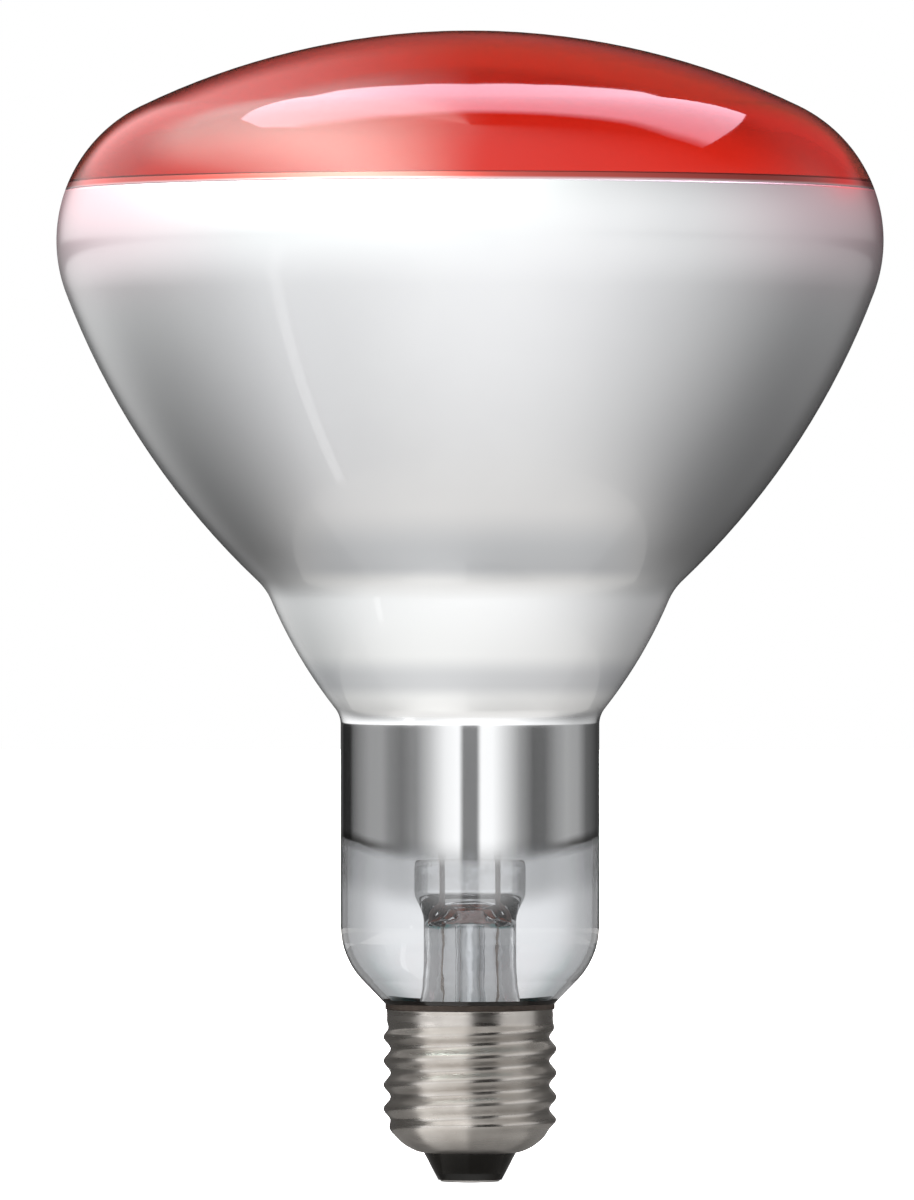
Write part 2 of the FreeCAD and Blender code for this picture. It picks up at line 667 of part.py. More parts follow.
def make_inner_leads():
    """Two stiff wires from the press up to the filament's ends."""
    leads = []
    step = "(%s - Sizes.lead_spacing / 2)" % LEAD_END_ACROSS
    reach = "sqrt(%s ^ 2 + (%s) ^ 2)" % (step, LEAD_END_FORWARD)
    slope = "atan2(%s; %s)" % (LEAD_END_FORWARD, step)
    under = "Sizes.filament_height - Sizes.filament_coil_diameter / 2"
    corners = [
        (None, "Sizes.press_top_height"),
        (None, "Sizes.lead_bend_height"),
        (reach, "%s - Sizes.lead_bend_radius" % under),
        (reach, under),
    ]
    bends = ["Sizes.lead_bend_radius", "Sizes.lead_bend_radius"]
    for label, across, turn in (
        ("inner_lead_left", "-Sizes.lead_spacing / 2", "(%s) - 180deg" % slope),
        ("inner_lead_right", "Sizes.lead_spacing / 2", "-(%s)" % slope),
    ):
        lead = bent_wire(label, "Sizes.inner_lead_diameter", corners, bends)
        stand_at(lead, across, turn)
        leads.append(lead)
    return leads


def make_seal_wires():
    """Two short wires that the press is pinched round."""
    return [
        upright_wire(label, across, "Sizes.seal_wire_diameter", "Sizes.stem_closed_height",
                     "Sizes.press_top_height")
        for label, across in (("seal_wire_left", "-Sizes.lead_spacing / 2"),
                              ("seal_wire_right", "Sizes.lead_spacing / 2"))
    ]


def make_outer_leads():
    """Thin wires from the press down to the two contacts of the cap."""
    bend = "Sizes.outer_bend_radius"
    half = "Sizes.lead_spacing / 2"
    centre = bent_wire(
        "outer_lead_centre", "Sizes.outer_lead_diameter",
        [(None, "Sizes.stem_closed_height"),
         (None, "Sizes.centre_lead_bend_height"),
         (half, "Sizes.insulator_top_height + Sizes.centre_lead_low_rise"),
         (half, "Sizes.solder_height")],
        [bend, bend])
    stand_at(centre, "-" + half, "0deg")
    run = "sqrt((%s) ^ 2 + Sizes.side_lead_run_radius ^ 2)" % half
    exit_reach = "%s + %s" % (run, BAND_RADIUS)
    side = bent_wire(
        "outer_lead_side", "Sizes.outer_lead_diameter",
        [(None, "Sizes.stem_closed_height"),
         (None, "Sizes.side_lead_low_height"),
         (run, "Sizes.side_lead_low_height"),
         (run, "Sizes.side_lead_exit_height"),
         ("%s - Sizes.side_lead_run_radius" % exit_reach, "Sizes.side_lead_exit_height")],
        [bend, bend, "Sizes.outer_lead_diameter"])
    stand_at(side, half, "atan2(Sizes.side_lead_run_radius; -(%s))" % half)
    return centre, side


def make_filament():
    """The coiled filament as its outer shape, most of a level ring."""
    ring = doc.addObject("Part::Torus", "filament")
    ring.Label = "filament"
    ring.setExpression("Radius1", "Sizes.filament_ring_diameter / 2")
    ring.setExpression("Radius2", "Sizes.filament_coil_diameter / 2")
    ring.setExpression("Angle3", "360 - Sizes.filament_gap_angle")
    ring.Placement = FreeCAD.Placement(vec(0, 0, 0), FreeCAD.Rotation(UP, 0))
    ring.setExpression("Placement.Base.z", "Sizes.filament_height")
    ring.setExpression("Placement.Rotation.Angle", "Sizes.filament_gap_angle / 2 - 90")
    return ring


def make_supports():
    """Fine wires that spread from the button and hook round the filament."""
    supports = []
    first_angle = 90 - SUPPORT_SPACING * (SUPPORT_COUNT - 1) / 2
    for number in range(SUPPORT_COUNT):
        label = "filament_support_%d" % (number + 1)
        body = make_body(label)
        path = make_sketch(body, label + "_path")
        hook = (size("filament_ring_diameter") / 2, size("filament_height"))
        loop = (size("filament_coil_diameter") + size("support_wire_diameter")) / 2
        root = (size("support_root_reach"), size("button_height"))
        gap = math.hypot(hook[0] - root[0], hook[1] - root[1])
        lean = math.atan2(hook[1] - root[1], hook[0] - root[0])
        turn = math.asin(loop / gap)
        reach = math.sqrt(gap ** 2 - loop ** 2)
        touch = (root[0] + reach * math.cos(lean - turn), root[1] + reach * math.sin(lean - turn))
        run = add_line(path, root, touch)
        last = (hook[0] - loop, hook[1])
        ring = add_arc(path, hook, loop, touch, last)
        fix(path, "Tangent", run, 2, ring, 1)
        bind(path, "DistanceX", *ORIGIN, run, 1, "Sizes.support_root_reach")
        bind(path, "DistanceY", *ORIGIN, run, 1, "Sizes.button_height")
        bind(path, "DistanceX", *ORIGIN, ring, 3, "Sizes.filament_ring_diameter / 2")
        bind(path, "DistanceY", *ORIGIN, ring, 3, "Sizes.filament_height")
        bind(path, "Radius", ring,
             "(Sizes.filament_coil_diameter + Sizes.support_wire_diameter) / 2")
        fix(path, "Horizontal", ring, 2, ring, 3)
        section = body.newObject("Sketcher::SketchObject", label + "_section")
        section.AttachmentSupport = [(path, "Edge1")]
        section.MapMode = "NormalToEdge"
        circle = section.addGeometry(
            Part.Circle(vec(0, 0, 0), UP, size("support_wire_diameter") / 2), False)
        fix(section, "Coincident", circle, 3, *ORIGIN)
        bind(section, "Diameter", circle, "Sizes.support_wire_diameter")
        pipe = body.newObject("PartDesign::AdditivePipe", label + "_sweep")
        pipe.Profile = section
        pipe.Spine = path
        angle = first_angle + SUPPORT_SPACING * number
        body.Placement = FreeCAD.Placement(vec(0, 0, 0), FreeCAD.Rotation(UP, angle))
        supports.append(body)
    return supports


def make_support_rod():
    """The glass rod on the press, melted to a button at its top."""
    return turned_body("support_rod_blank", [
        (None, "Sizes.press_top_height"),
        ("Sizes.rod_diameter / 2", "Sizes.press_top_height"),
        ("Sizes.rod_diameter / 2", "Sizes.button_height - Sizes.button_bottom_drop"),
        ("Sizes.button_diameter / 2", "Sizes.button_height - Sizes.button_band_reach"),
        ("Sizes.button_diameter / 2", "Sizes.button_height + Sizes.button_band_reach"),
        ("Sizes.rod_diameter / 2", "Sizes.button_height + Sizes.button_top_rise"),
        (None, "Sizes.button_height + Sizes.button_top_rise"),
    ])


def make_exhaust_tube():
    """The pumping tube inside the stem, melted shut at its lower tip."""
    outer, bore = "Sizes.exhaust_diameter / 2", "Sizes.exhaust_bore / 2"
    return turned_body("exhaust_tube", [
        (None, "Sizes.exhaust_tip_height"),
        ("Sizes.exhaust_tip_diameter / 2", "Sizes.exhaust_tip_height"),
        (outer, "Sizes.exhaust_tip_height + Sizes.exhaust_tip_length"),
        (outer, "Sizes.stem_closed_height"),
        (bore, "Sizes.stem_closed_height"),
        (bore, "Sizes.exhaust_tip_height + Sizes.exhaust_tip_length"),
        (None, "Sizes.exhaust_tip_height + Sizes.exhaust_tip_wall"),
    ])


def make_cement():
    """The ring of basing cement, which swells into a bead over the cap's rim."""
    root_inside = "Sizes.thread_root_diameter / 2 - Sizes.sheet"
    band_inside = BAND_RADIUS + " - Sizes.sheet"
    bead = BAND_RADIUS + " + Sizes.cement_bead"
    land = "Sizes.land_diameter / 2"
    bead_top = "%s + (%s - %s) / tan(%s)" % (LAND_TOP, bead, land, CONE_LEAN)
    return turned_body("basing_cement_blank", [
        (land, "Sizes.seal_height"),
        (root_inside, "Sizes.seal_height"),
        (root_inside, "Sizes.thread_top_height"),
        (band_inside, "Sizes.thread_top_height + Sizes.sheet"),
        (band_inside, "Sizes.cap_rim_height"),
        (bead, "Sizes.cap_rim_height"),
        (bead, bead_top),
        (land, LAND_TOP),
    ])


def cap_meridian(inset):
    """The cap's side from its rim down to its lip, as radius, height and thread share.

    The wall is upright over the threads and rounds in below them. The inset
    moves it inwards by the thickness of the sheet.
    """
    mean = (size("thread_diameter") + size("thread_root_diameter")) / 4
    rim, bend = size("cap_rim_height"), size("taper_top_height")
    low, lip = size("taper_bottom_height"), size("taper_end_diameter") / 2
    fade, pitch = size("thread_fade"), size("thread_pitch")
    upright_count = round((rim - bend) / pitch * THREAD_STEPS_A_PITCH)
    points = []
    for step in range(upright_count):
        height = rim + (bend - rim) * step / upright_count
        points.append((mean - inset, height))
    for step in range(TAPER_STEPS + 1):
        turn = math.pi / 2 * step / TAPER_STEPS
        across = lip + (mean - inset - lip) * max(math.cos(turn), 0) ** TAPER_FULLNESS
        height = bend - (bend - low - inset) * math.sin(turn) ** TAPER_FULLNESS
        points.append((across, height))
    shares = []
    for _, height in points:
        above = (height - size("thread_bottom_height")) / fade
        below = (size("thread_top_height") - height) / fade
        shares.append(math.sin(min(max(min(above, below), 0), 1) * math.pi / 2) ** 2)
    return points, shares


def thread_patch(inset):
    """One side of the cap's wall, with the round thread rolled into it."""
    depth = (size("thread_diameter") - size("thread_root_diameter")) / 4
    pitch, crest = size("thread_pitch"), size("thread_crest_height")
    points, shares = cap_meridian(inset)
    grid = []
    for step in range(THREAD_STEPS_A_TURN + 1):
        turn = 2 * math.pi * (step % THREAD_STEPS_A_TURN) / THREAD_STEPS_A_TURN
        row = []
        for (radius, height), share in zip(points, shares):
            wave = math.cos(2 * math.pi * (height - crest) / pitch - turn)
            out = radius + depth * share * wave
            row.append(vec(out * math.cos(turn), out * math.sin(turn), height))
        grid.append(row)
    surface = Part.BSplineSurface()
    surface.interpolate(grid)
    return surface


def make_cap_shell():
    """The screw shell, rolled from one thickness of sheet."""
    outer, inner = thread_patch(0), thread_patch(size("sheet"))
    faces = [outer.toShape(), inner.toShape()]
    _, _, start, end = outer.bounds()
    for place in (start, end):
        edges = [patch.vIso(place).toShape() for patch in (outer, inner)]
        faces.append(Part.makeRuledSurface(*edges))
    shell = Part.Shell(faces)
    shell.sewShape(SEWING_GAP)
    solid = Part.Solid(shell)
    if solid.Volume < 0:
        solid.reverse()
    blank = doc.addObject("Part::Feature", "cap_shell_blank")
    blank.Label = "cap_shell_blank"
    blank.Shape = solid
    notch = doc.addObject("Part::Box", "rim_notch")
    notch.setExpression("Length", "Sizes.rim_notch_width")
    notch.setExpression("Width", "Sizes.thread_diameter / 2")
    notch.setExpression("Height", "Sizes.cap_rim_height")
    notch.setExpression("Placement.Base.x", "-Sizes.rim_notch_width / 2")
    notch.setExpression(
        "Placement.Base.z", "Sizes.side_lead_exit_height - Sizes.outer_lead_diameter / 2")
    return cut("cap_shell", blank, notch)


def cut(label, base, *tools):
    """The base with the tools taken out, as glass closes round a wire."""
    if len(tools) == 1:
        tool = tools[0]
    else:
        tool = doc.addObject("Part::MultiFuse", label + "_tools")
        tool.Shapes = list(tools)
    piece = doc.addObject("Part::Cut", label)
    piece.Label = label
    piece.Base = base
    piece.Tool = tool
    return piece


def make_insulator():
    """The glass button that closes the cap and keeps the two contacts apart."""
    seat, lip = "Sizes.insulator_seat_diameter / 2", "Sizes.taper_end_diameter / 2"
    bore = "Sizes.eyelet_bore / 2"
    return turned_body("cap_insulator", [
        (bore, "Sizes.insulator_bottom_height"),
        ("Sizes.insulator_tip_diameter / 2", "Sizes.insulator_bottom_height"),
        (lip, "Sizes.taper_bottom_height"),
        (lip, "Sizes.taper_bottom_height + Sizes.sheet"),
        (seat, "Sizes.insulator_top_height - Sizes.sheet"),
        (seat, "Sizes.insulator_top_height"),
        (bore, "Sizes.insulator_top_height"),
    ])


def make_centre_contact():
    """The eyelet disc under the insulator."""
    return turned_body("centre_contact", [
        ("Sizes.eyelet_bore / 2", "Sizes.contact_bottom_height"),
        ("Sizes.contact_diameter / 2 - Sizes.contact_bottom_height", "Sizes.contact_bottom_height"),
        ("Sizes.contact_diameter / 2", "Sizes.contact_bottom_height * 2"),
        ("Sizes.contact_diameter / 2", "Sizes.insulator_bottom_height"),
        ("Sizes.eyelet_bore / 2", "Sizes.insulator_bottom_height"),
    ])


def make_centre_solder():
    """The solder that fills the eyelet and ends in a small flat tip."""
    return turned_body("centre_solder", [
        (None, "0"),
        ("Sizes.solder_flat_diameter / 2", "0"),
        ("Sizes.solder_diameter / 2", "Sizes.contact_bottom_height"),
        ("Sizes.eyelet_bore / 2", "Sizes.contact_bottom_height"),
        ("Sizes.eyelet_bore / 2", "Sizes.solder_height"),
        (None, "Sizes.solder_height"),
    ])


def make_side_solder():
    """The lump of solder over the side wire's end, outside the rim."""
    lump = doc.addObject("Part::Sphere", "side_solder_blank")
    lump.setExpression("Radius", "Sizes.side_solder_radius")
    lump.setExpression("Placement.Base.y", BAND_RADIUS)
    lump.setExpression("Placement.Base.z", "Sizes.side_lead_exit_height")
    band = doc.addObject("Part::Cylinder", "band_inside")
    band.setExpression("Radius", BAND_RADIUS)
    band.setExpression("Height", "Sizes.cap_rim_height * 2")
    return cut("side_solder", lump, band)


def check(objects):
    """Stops if any feature has failed or any piece isn't a sound solid."""
    faults = [item.Label + " failed to build" for item in doc.Objects
              if "Invalid" in item.State or "Error" in item.State]
    for item in objects:
        if item.Shape.isNull() or not item.Shape.isValid():
            faults.append(item.Label + " isn't a sound shape")
        elif not item.Shape.Solids:
            faults.append(item.Label + " holds no solid")
    if faults:
        raise RuntimeError("; ".join(faults))


def build():
    """All the lamp's pieces, in the order in which they are put together."""
    pieces = make_bulb()
    seal_wires = make_seal_wires()
    pieces.append(cut("stem_glass", make_stem(), *seal_wires))
    pieces.append(make_exhaust_tube())
    supports = make_supports()
    pieces.append(cut("support_rod", make_support_rod(), *supports))
    pieces += make_inner_leads()
    pieces += seal_wires
    centre_lead, side_lead = make_outer_leads()
    pieces += [centre_lead, side_lead]
    pieces.append(make_filament())
    pieces += supports
    pieces.append(make_cap_shell())
    pieces.append(cut("basing_cement", make_cement(), side_lead))
    pieces += [make_insulator(), make_centre_contact(), make_centre_solder()]
    pieces.append(make_side_solder())
    return pieces


parts = build()
doc.recompute()
check(parts)
os.makedirs("parts", exist_ok=True)
for part in parts:
    part.Shape.exportStep("parts/%s.step" % part.Label)
    print(part.Label, round(part.Shape.Volume, 2), "cubic mm")
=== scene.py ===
"""Infrared heat lamp bulb, dressed for a white studio.

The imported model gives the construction. This script gives the glass, the
mirror, the red front and the cap their finish, redraws the blown glass, the
stem and the coiled filament finely, and sets the lights and the camera.
"""
import math

import bmesh
import bpy
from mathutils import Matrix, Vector


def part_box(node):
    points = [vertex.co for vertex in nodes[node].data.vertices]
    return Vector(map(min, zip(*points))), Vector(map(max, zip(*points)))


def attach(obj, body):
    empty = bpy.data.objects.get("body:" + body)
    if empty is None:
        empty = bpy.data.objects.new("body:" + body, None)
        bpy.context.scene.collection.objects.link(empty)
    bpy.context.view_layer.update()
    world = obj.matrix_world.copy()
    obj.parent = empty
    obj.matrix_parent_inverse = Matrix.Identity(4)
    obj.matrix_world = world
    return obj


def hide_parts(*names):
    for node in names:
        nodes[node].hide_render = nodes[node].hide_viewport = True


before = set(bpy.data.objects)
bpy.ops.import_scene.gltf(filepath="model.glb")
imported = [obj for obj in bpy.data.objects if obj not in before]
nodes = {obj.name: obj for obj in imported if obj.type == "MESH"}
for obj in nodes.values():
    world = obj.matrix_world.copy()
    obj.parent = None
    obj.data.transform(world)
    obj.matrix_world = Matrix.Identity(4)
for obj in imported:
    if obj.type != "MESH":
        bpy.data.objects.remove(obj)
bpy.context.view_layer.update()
scene = bpy.context.scene
MM = 0.001
TURN = 2 * math.pi


# outline of the blown glass, in metres: arcs by their radius and the height or place of their centre

BULB_RADIUS = 62.5 * MM
TOP = 174 * MM
WIDEST = 142.3 * MM
SHOULDER = 22.5 * MM
REFLECTOR = 116.4 * MM
REFLECTOR_CENTRE = 175.5 * MM
WAIST_FILLET = 9 * MM
HEEL = 71.4 * MM
HEEL_CENTRE = (-35.7 * MM, 115.8 * MM)
THROAT_FILLET = 4 * MM
NECK_RADIUS = 19.55 * MM
NECK_END = 12 * MM
NECK_END_CENTRE = 38.8 * MM
CONE_LEAN = math.radians(44)
LAND_RADIUS = 11 * MM
SEAL = 22.6 * MM
WALL = 1 * MM
FILM = 0.12 * MM

ROUND_STEPS = 256
STEM_STEPS = 96
ARC_STEP = math.radians(1.6)

# the stretches of colour and film, as heights and lengths along the axis

COLOUR_EDGE = 149.8 * MM
COLOUR_LAP = 1.1 * MM
FADE_TOP = 60 * MM
FILM_EDGE = 52.3 * MM
FILM_DIP = 3.3 * MM
FILM_RAGGED = 0.8 * MM
FADE_BOTTOM = 39.5 * MM


def crossing(first, first_radius, second, second_radius):
    """The right-hand crossing of two circles in the half-section."""
    gap = math.dist(first, second)
    across = (second[0] - first[0]) / gap
    along = (second[1] - first[1]) / gap
    near = (first_radius ** 2 - second_radius ** 2 + gap ** 2) / (2 * gap)
    side = math.sqrt(first_radius ** 2 - near ** 2)
    choices = [(first[0] + across * near - along * side * hand,
                first[1] + along * near + across * side * hand) for hand in (1, -1)]
    return max(choices)


def direction(centre, target):
    """The angle at which the target lies, seen from the centre."""
    return math.atan2(target[1] - centre[1], target[0] - centre[0])


def arc_points(centre, radius, start, end):
    """Points on an arc, both ends included."""
    count = max(3, math.ceil(abs(end - start) / ARC_STEP))
    angles = [start + (end - start) * i / count for i in range(count + 1)]
    return [(centre[0] + radius * math.cos(a), centre[1] + radius * math.sin(a)) for a in angles]


def glass_outline(inset):
    """The outline's arcs from the top of the dome down to the seal, moved in by inset."""
    shoulder_at = (BULB_RADIUS - SHOULDER, WIDEST)
    rise = TOP - WIDEST
    dome = (shoulder_at[0] ** 2 + rise ** 2 - SHOULDER ** 2) / (2 * (rise - SHOULDER))
    dome_at = (0, TOP - dome)
    drop = REFLECTOR_CENTRE - WIDEST
    run = math.sqrt((REFLECTOR - SHOULDER) ** 2 - drop ** 2)
    reflector_at = (shoulder_at[0] - run, REFLECTOR_CENTRE)
    waist_at = crossing(reflector_at, REFLECTOR + WAIST_FILLET, HEEL_CENTRE, HEEL + WAIST_FILLET)
    reach = NECK_RADIUS + THROAT_FILLET - HEEL_CENTRE[0]
    throat_fall = math.sqrt((HEEL + THROAT_FILLET) ** 2 - reach ** 2)
    throat_at = (NECK_RADIUS + THROAT_FILLET, HEEL_CENTRE[1] - throat_fall)
    neck_end_at = (NECK_RADIUS - NECK_END, NECK_END_CENTRE)
    dome_join = direction(dome_at, shoulder_at)
    shoulder_join = direction(reflector_at, shoulder_at)
    waist_join = direction(reflector_at, waist_at)
    heel_join = direction(HEEL_CENTRE, waist_at)
    throat_join = direction(HEEL_CENTRE, throat_at)
    cone_start = (neck_end_at[0] + (NECK_END - inset) * math.cos(CONE_LEAN),
                  neck_end_at[1] - (NECK_END - inset) * math.sin(CONE_LEAN))
    land = LAND_RADIUS - inset
    cone_fall = (cone_start[0] - land) / math.tan(CONE_LEAN)
    half = math.pi
    points = arc_points(dome_at, dome - inset, math.pi / 2, dome_join)
    points += arc_points(shoulder_at, SHOULDER - inset, dome_join, shoulder_join)[1:]
    points += arc_points(reflector_at, REFLECTOR - inset, shoulder_join, waist_join)[1:]
    points += arc_points(waist_at, WAIST_FILLET + inset, waist_join + half, heel_join + half)[1:]
    points += arc_points(HEEL_CENTRE, HEEL - inset, heel_join, throat_join)[1:]
    points += arc_points(throat_at, THROAT_FILLET + inset, throat_join + half, half)[1:]
    points += arc_points(neck_end_at, NECK_END - inset, 0, -CONE_LEAN)
    points += [(land, cone_start[1] - cone_fall), (land, SEAL)]
    return points


def cut_outline(points, top, bottom):
    """The part of an outline between two heights, with a point at each cut."""
    kept = []
    for (r0, z0), (r1, z1) in zip(points, points[1:]):
        for level in (top, bottom):
            if z1 < level < z0:
                share = (z0 - level) / (z0 - z1)
                kept.append((r0 + (r1 - r0) * share, level))
        if bottom <= z1 <= top:
            kept.append((r1, z1))
    if points[0][1] <= top:
        kept.insert(0, points[0])
    return sorted(set(kept), key=lambda point: -point[1])


# mesh helpers

def new_piece(name, mesh):
    """An object in the scene, made from a bmesh that it uses up."""
    data = bpy.data.meshes.new(name)
    mesh.to_mesh(data)
    mesh.free()
    piece = bpy.data.objects.new(name, data)
    scene.collection.objects.link(piece)
    return piece


def turned_mesh(section):
    """A surface turned about the axis from a closed list of (radius, height, slot)."""
    on_axis = 1e-9
    mesh = bmesh.new()
    rings = []
    for radius, height, _ in section:
        if radius < on_axis:
            rings.append([mesh.verts.new((0, 0, height))])
            continue
        rings.append([
            mesh.verts.new((radius * math.cos(TURN * i / ROUND_STEPS),
                            radius * math.sin(TURN * i / ROUND_STEPS), height))
            for i in range(ROUND_STEPS)])
    pairs = zip(rings, rings[1:] + rings[:1], section)
    for upper, lower, (_, _, slot) in pairs:
        if len(upper) == 1 and len(lower) == 1:
            continue
        for i in range(ROUND_STEPS):
            j = (i + 1) % ROUND_STEPS
            corners = [upper[i % len(upper)], lower[i % len(lower)]]
            if len(lower) > 1:
                corners.append(lower[j])
            if len(upper) > 1:
                corners.append(upper[j])
            face = mesh.faces.new(corners)
            face.material_index = slot
            face.smooth = True
    bmesh.ops.recalc_face_normals(mesh, faces=mesh.faces)
    return mesh


def give(piece, *materials):
    """Puts materials in the piece's slots, in order."""
    slots = piece.data.materials
    for index, material in enumerate(materials):
        if index < len(slots):
            slots[index] = material
        else:
            slots.append(material)


# node helpers

def new_material(name, **inputs):
    """A Principled material with the given socket values, its nodes and its shader."""
    material = bpy.data.materials.new(name)
    material.use_nodes = True
    shader = material.node_tree.nodes["Principled BSDF"]
    for key, value in inputs.items():
        shader.inputs[key.replace("_", " ")].default_value = value
    return material, material.node_tree, shader


def add_node(tree, kind, **settings):
    """A node with the given settings."""
    node = tree.nodes.new(kind)
    for key, value in settings.items():
        setattr(node, key, value)
    return node


def feed(tree, socket, value):
    """Links a socket to a node's output, or sets it to a plain number or colour."""
    if isinstance(value, (int, float)):
        socket.default_value = value
    elif isinstance(value, tuple):
        socket.default_value = (*value, 1)
    else:
        tree.links.new(value, socket)


def lamp_point(tree):
    """The point's place in the lamp's own coordinates."""
    return add_node(tree, "ShaderNodeTexCoord").outputs["Object"]


def split(tree, vector):
    """The three coordinates of a vector."""
    axes = add_node(tree, "ShaderNodeSeparateXYZ")
    tree.links.new(vector, axes.inputs[0])
    return axes.outputs["X"], axes.outputs["Y"], axes.outputs["Z"]


def calculate(tree, operation, first, second=None):
    """One step of arithmetic on linked values or plain numbers."""
    node = add_node(tree, "ShaderNodeMath", operation=operation)
    feed(tree, node.inputs[0], first)
    if second is not None:
        feed(tree, node.inputs[1], second)
    return node.outputs[0]


def multiply(tree, first, second):
    """The product of two linked values or plain numbers."""
    return calculate(tree, "MULTIPLY", first, second)


def smooth_step(tree, value, low, high, start=0.0, end=1.0):
    """A smooth change from start to end as the value goes from low to high."""
    step = add_node(tree, "ShaderNodeMapRange", interpolation_type="SMOOTHSTEP")
    tree.links.new(value, step.inputs["Value"])
    step.inputs["From Min"].default_value = low
    step.inputs["From Max"].default_value = high
    step.inputs["To Min"].default_value = start
    step.inputs["To Max"].default_value = end
    return step.outputs["Result"]


def band(tree, value, rise, fall):
    """1 between two smooth edges, each from where it is 0 to where it is 1, and 0 outside them."""
    return multiply(tree, smooth_step(tree, value, *rise), smooth_step(tree, value, *fall))


def blend(tree, share, first, second, kind="MIX"):
    """Two colours, linked or plain, mixed or added by a share from 0 to 1."""
    mix = add_node(tree, "ShaderNodeMix", data_type="RGBA", blend_type=kind)
    feed(tree, mix.inputs["Factor"], share)
    feed(tree, mix.inputs["A"], first)
    feed(tree, mix.inputs["B"], second)
    return mix.outputs["Result"]


def choose(tree, share, first, second):
    """Two shaders mixed by a linked share from 0 to 1."""
    mix = add_node(tree, "ShaderNodeMixShader")
    tree.links.new(share, mix.inputs["Fac"])
    tree.links.new(first, mix.inputs[1])
    tree.links.new(second, mix.inputs[2])
    return mix.outputs[0]


def noise(tree, place, scale, detail=3.0, stretch=None):
    """Noise at a place, finer along the axes with a larger stretch."""
    texture = add_node(tree, "ShaderNodeTexNoise")
    texture.inputs["Scale"].default_value = scale
    texture.inputs["Detail"].default_value = detail
    if stretch:
        mapping = add_node(tree, "ShaderNodeMapping")
        mapping.inputs["Scale"].default_value = stretch
        tree.links.new(place, mapping.inputs["Vector"])
        place = mapping.outputs["Vector"]
    tree.links.new(place, texture.inputs["Vector"])
    return texture.outputs["Fac"]


def bump(tree, shader, height, strength, distance):
    """A fine unevenness of the surface."""
    node = add_node(tree, "ShaderNodeBump")
    node.inputs["Strength"].default_value = strength
    node.inputs["Distance"].default_value = distance
    tree.links.new(height, node.inputs["Height"])
    tree.links.new(node.outputs["Normal"], shader.inputs["Normal"])


# colours, as darkest and lightest where there are two

SILVER = (0.80, 0.805, 0.82), (0.84, 0.845, 0.855)
# painted light: a paler silver that makes the downward-facing heel look lit
HEEL_PAINTED_LIGHT = (0.96, 0.97, 0.98)
# painted shade: a duller silver along the heel's foot, just above the neck
FOOT_PAINTED_SHADE = (0.75, 0.765, 0.79)
# painted shade: a darker silver in the middle of the waist
WAIST_PAINTED_SHADE = (0.62, 0.64, 0.67)
# painted pink sheen on the silver at the sides, just below the red
PAINTED_PINK_SHEEN = (0.90, 0.68, 0.74)
THIN_FILM = (0.16, 0.155, 0.15)
BARE_FILM = (0.86, 0.86, 0.87), (0.93, 0.93, 0.94)
# painted shade: darker glass just above the cap
GLASS_SHADE_AT_CAP = (0.89, 0.90, 0.91)
GLASS_TINT = (0.955, 0.965, 0.98)
STEM_TINT = (0.975, 0.98, 0.985)
RED_COAT = (0.90, 0.12, 0.07), (0.95, 0.15, 0.09)
LAP_PINK = (0.76, 0.62, 0.66)
LAP_RED = (0.50, 0.06, 0.045)
NICKEL_SHEET = (0.54, 0.51, 0.48), (0.68, 0.65, 0.62)
BLACK_BUTTON = (0.004, 0.004, 0.003), (0.014, 0.012, 0.010)
# partly painted shade: the cement is dark enough to stand for the shadow in the gap above the cap's rim
BASING_CEMENT_AND_SHADE = (0.03, 0.022, 0.018), (0.07, 0.052, 0.042)
CLEAR_IOR = 1.5
STEM_IOR = 1.52

# roughness of the silver

POLISHED = 0.07
SATIN = 0.42
HEEL_SOFTENING = 0.14
COAT_ON_BODY = 0.03
COAT_ON_SHOULDER = 0.12

# where the finish and the painted light and shade change: heights on the lamp, or distances from its middle
# plane for the sides, each pair from no effect to the full effect, and two pairs where the effect ends
# again

CAP_TO_CLEAR = (27.5 * MM, 31.5 * MM)
NECK_TO_BODY = (68.5 * MM, 72 * MM)
HEEL_START = (70 * MM, 74 * MM)
HEEL_FOOT = (73 * MM, 75.4 * MM), (80 * MM, 76.4 * MM)
SOFT_HEEL = (96 * MM, 86 * MM)
PALE_HEEL = (96 * MM, 89 * MM)
WAIST = (90.5 * MM, 93 * MM), (102 * MM, 95 * MM)
WAIST_MIDDLE = (32 * MM, 18 * MM)
SHOULDER_RISE = (124 * MM, 142 * MM)
PAINTED_PINK_SHEEN_RISE = (COLOUR_EDGE - 22 * MM, COLOUR_EDGE)
PAINTED_PINK_SHEEN_SIDES = (30 * MM, 60 * MM)
PINK_TO_RED = (COLOUR_EDGE - 0.05 * MM, COLOUR_EDGE + 0.55 * MM)

# the film's lower edge, as heights above it and softness at the sides and at the front

THIN_BAND = (-1.6 * MM, -0.6 * MM), (1.8 * MM, 0.2 * MM)
HAZE_RISE = (-9 * MM, -4.5 * MM)
HAZE = 0.24
SHARP_SIDE = 0.3 * MM
SOFT_FRONT = 3.4 * MM


# materials

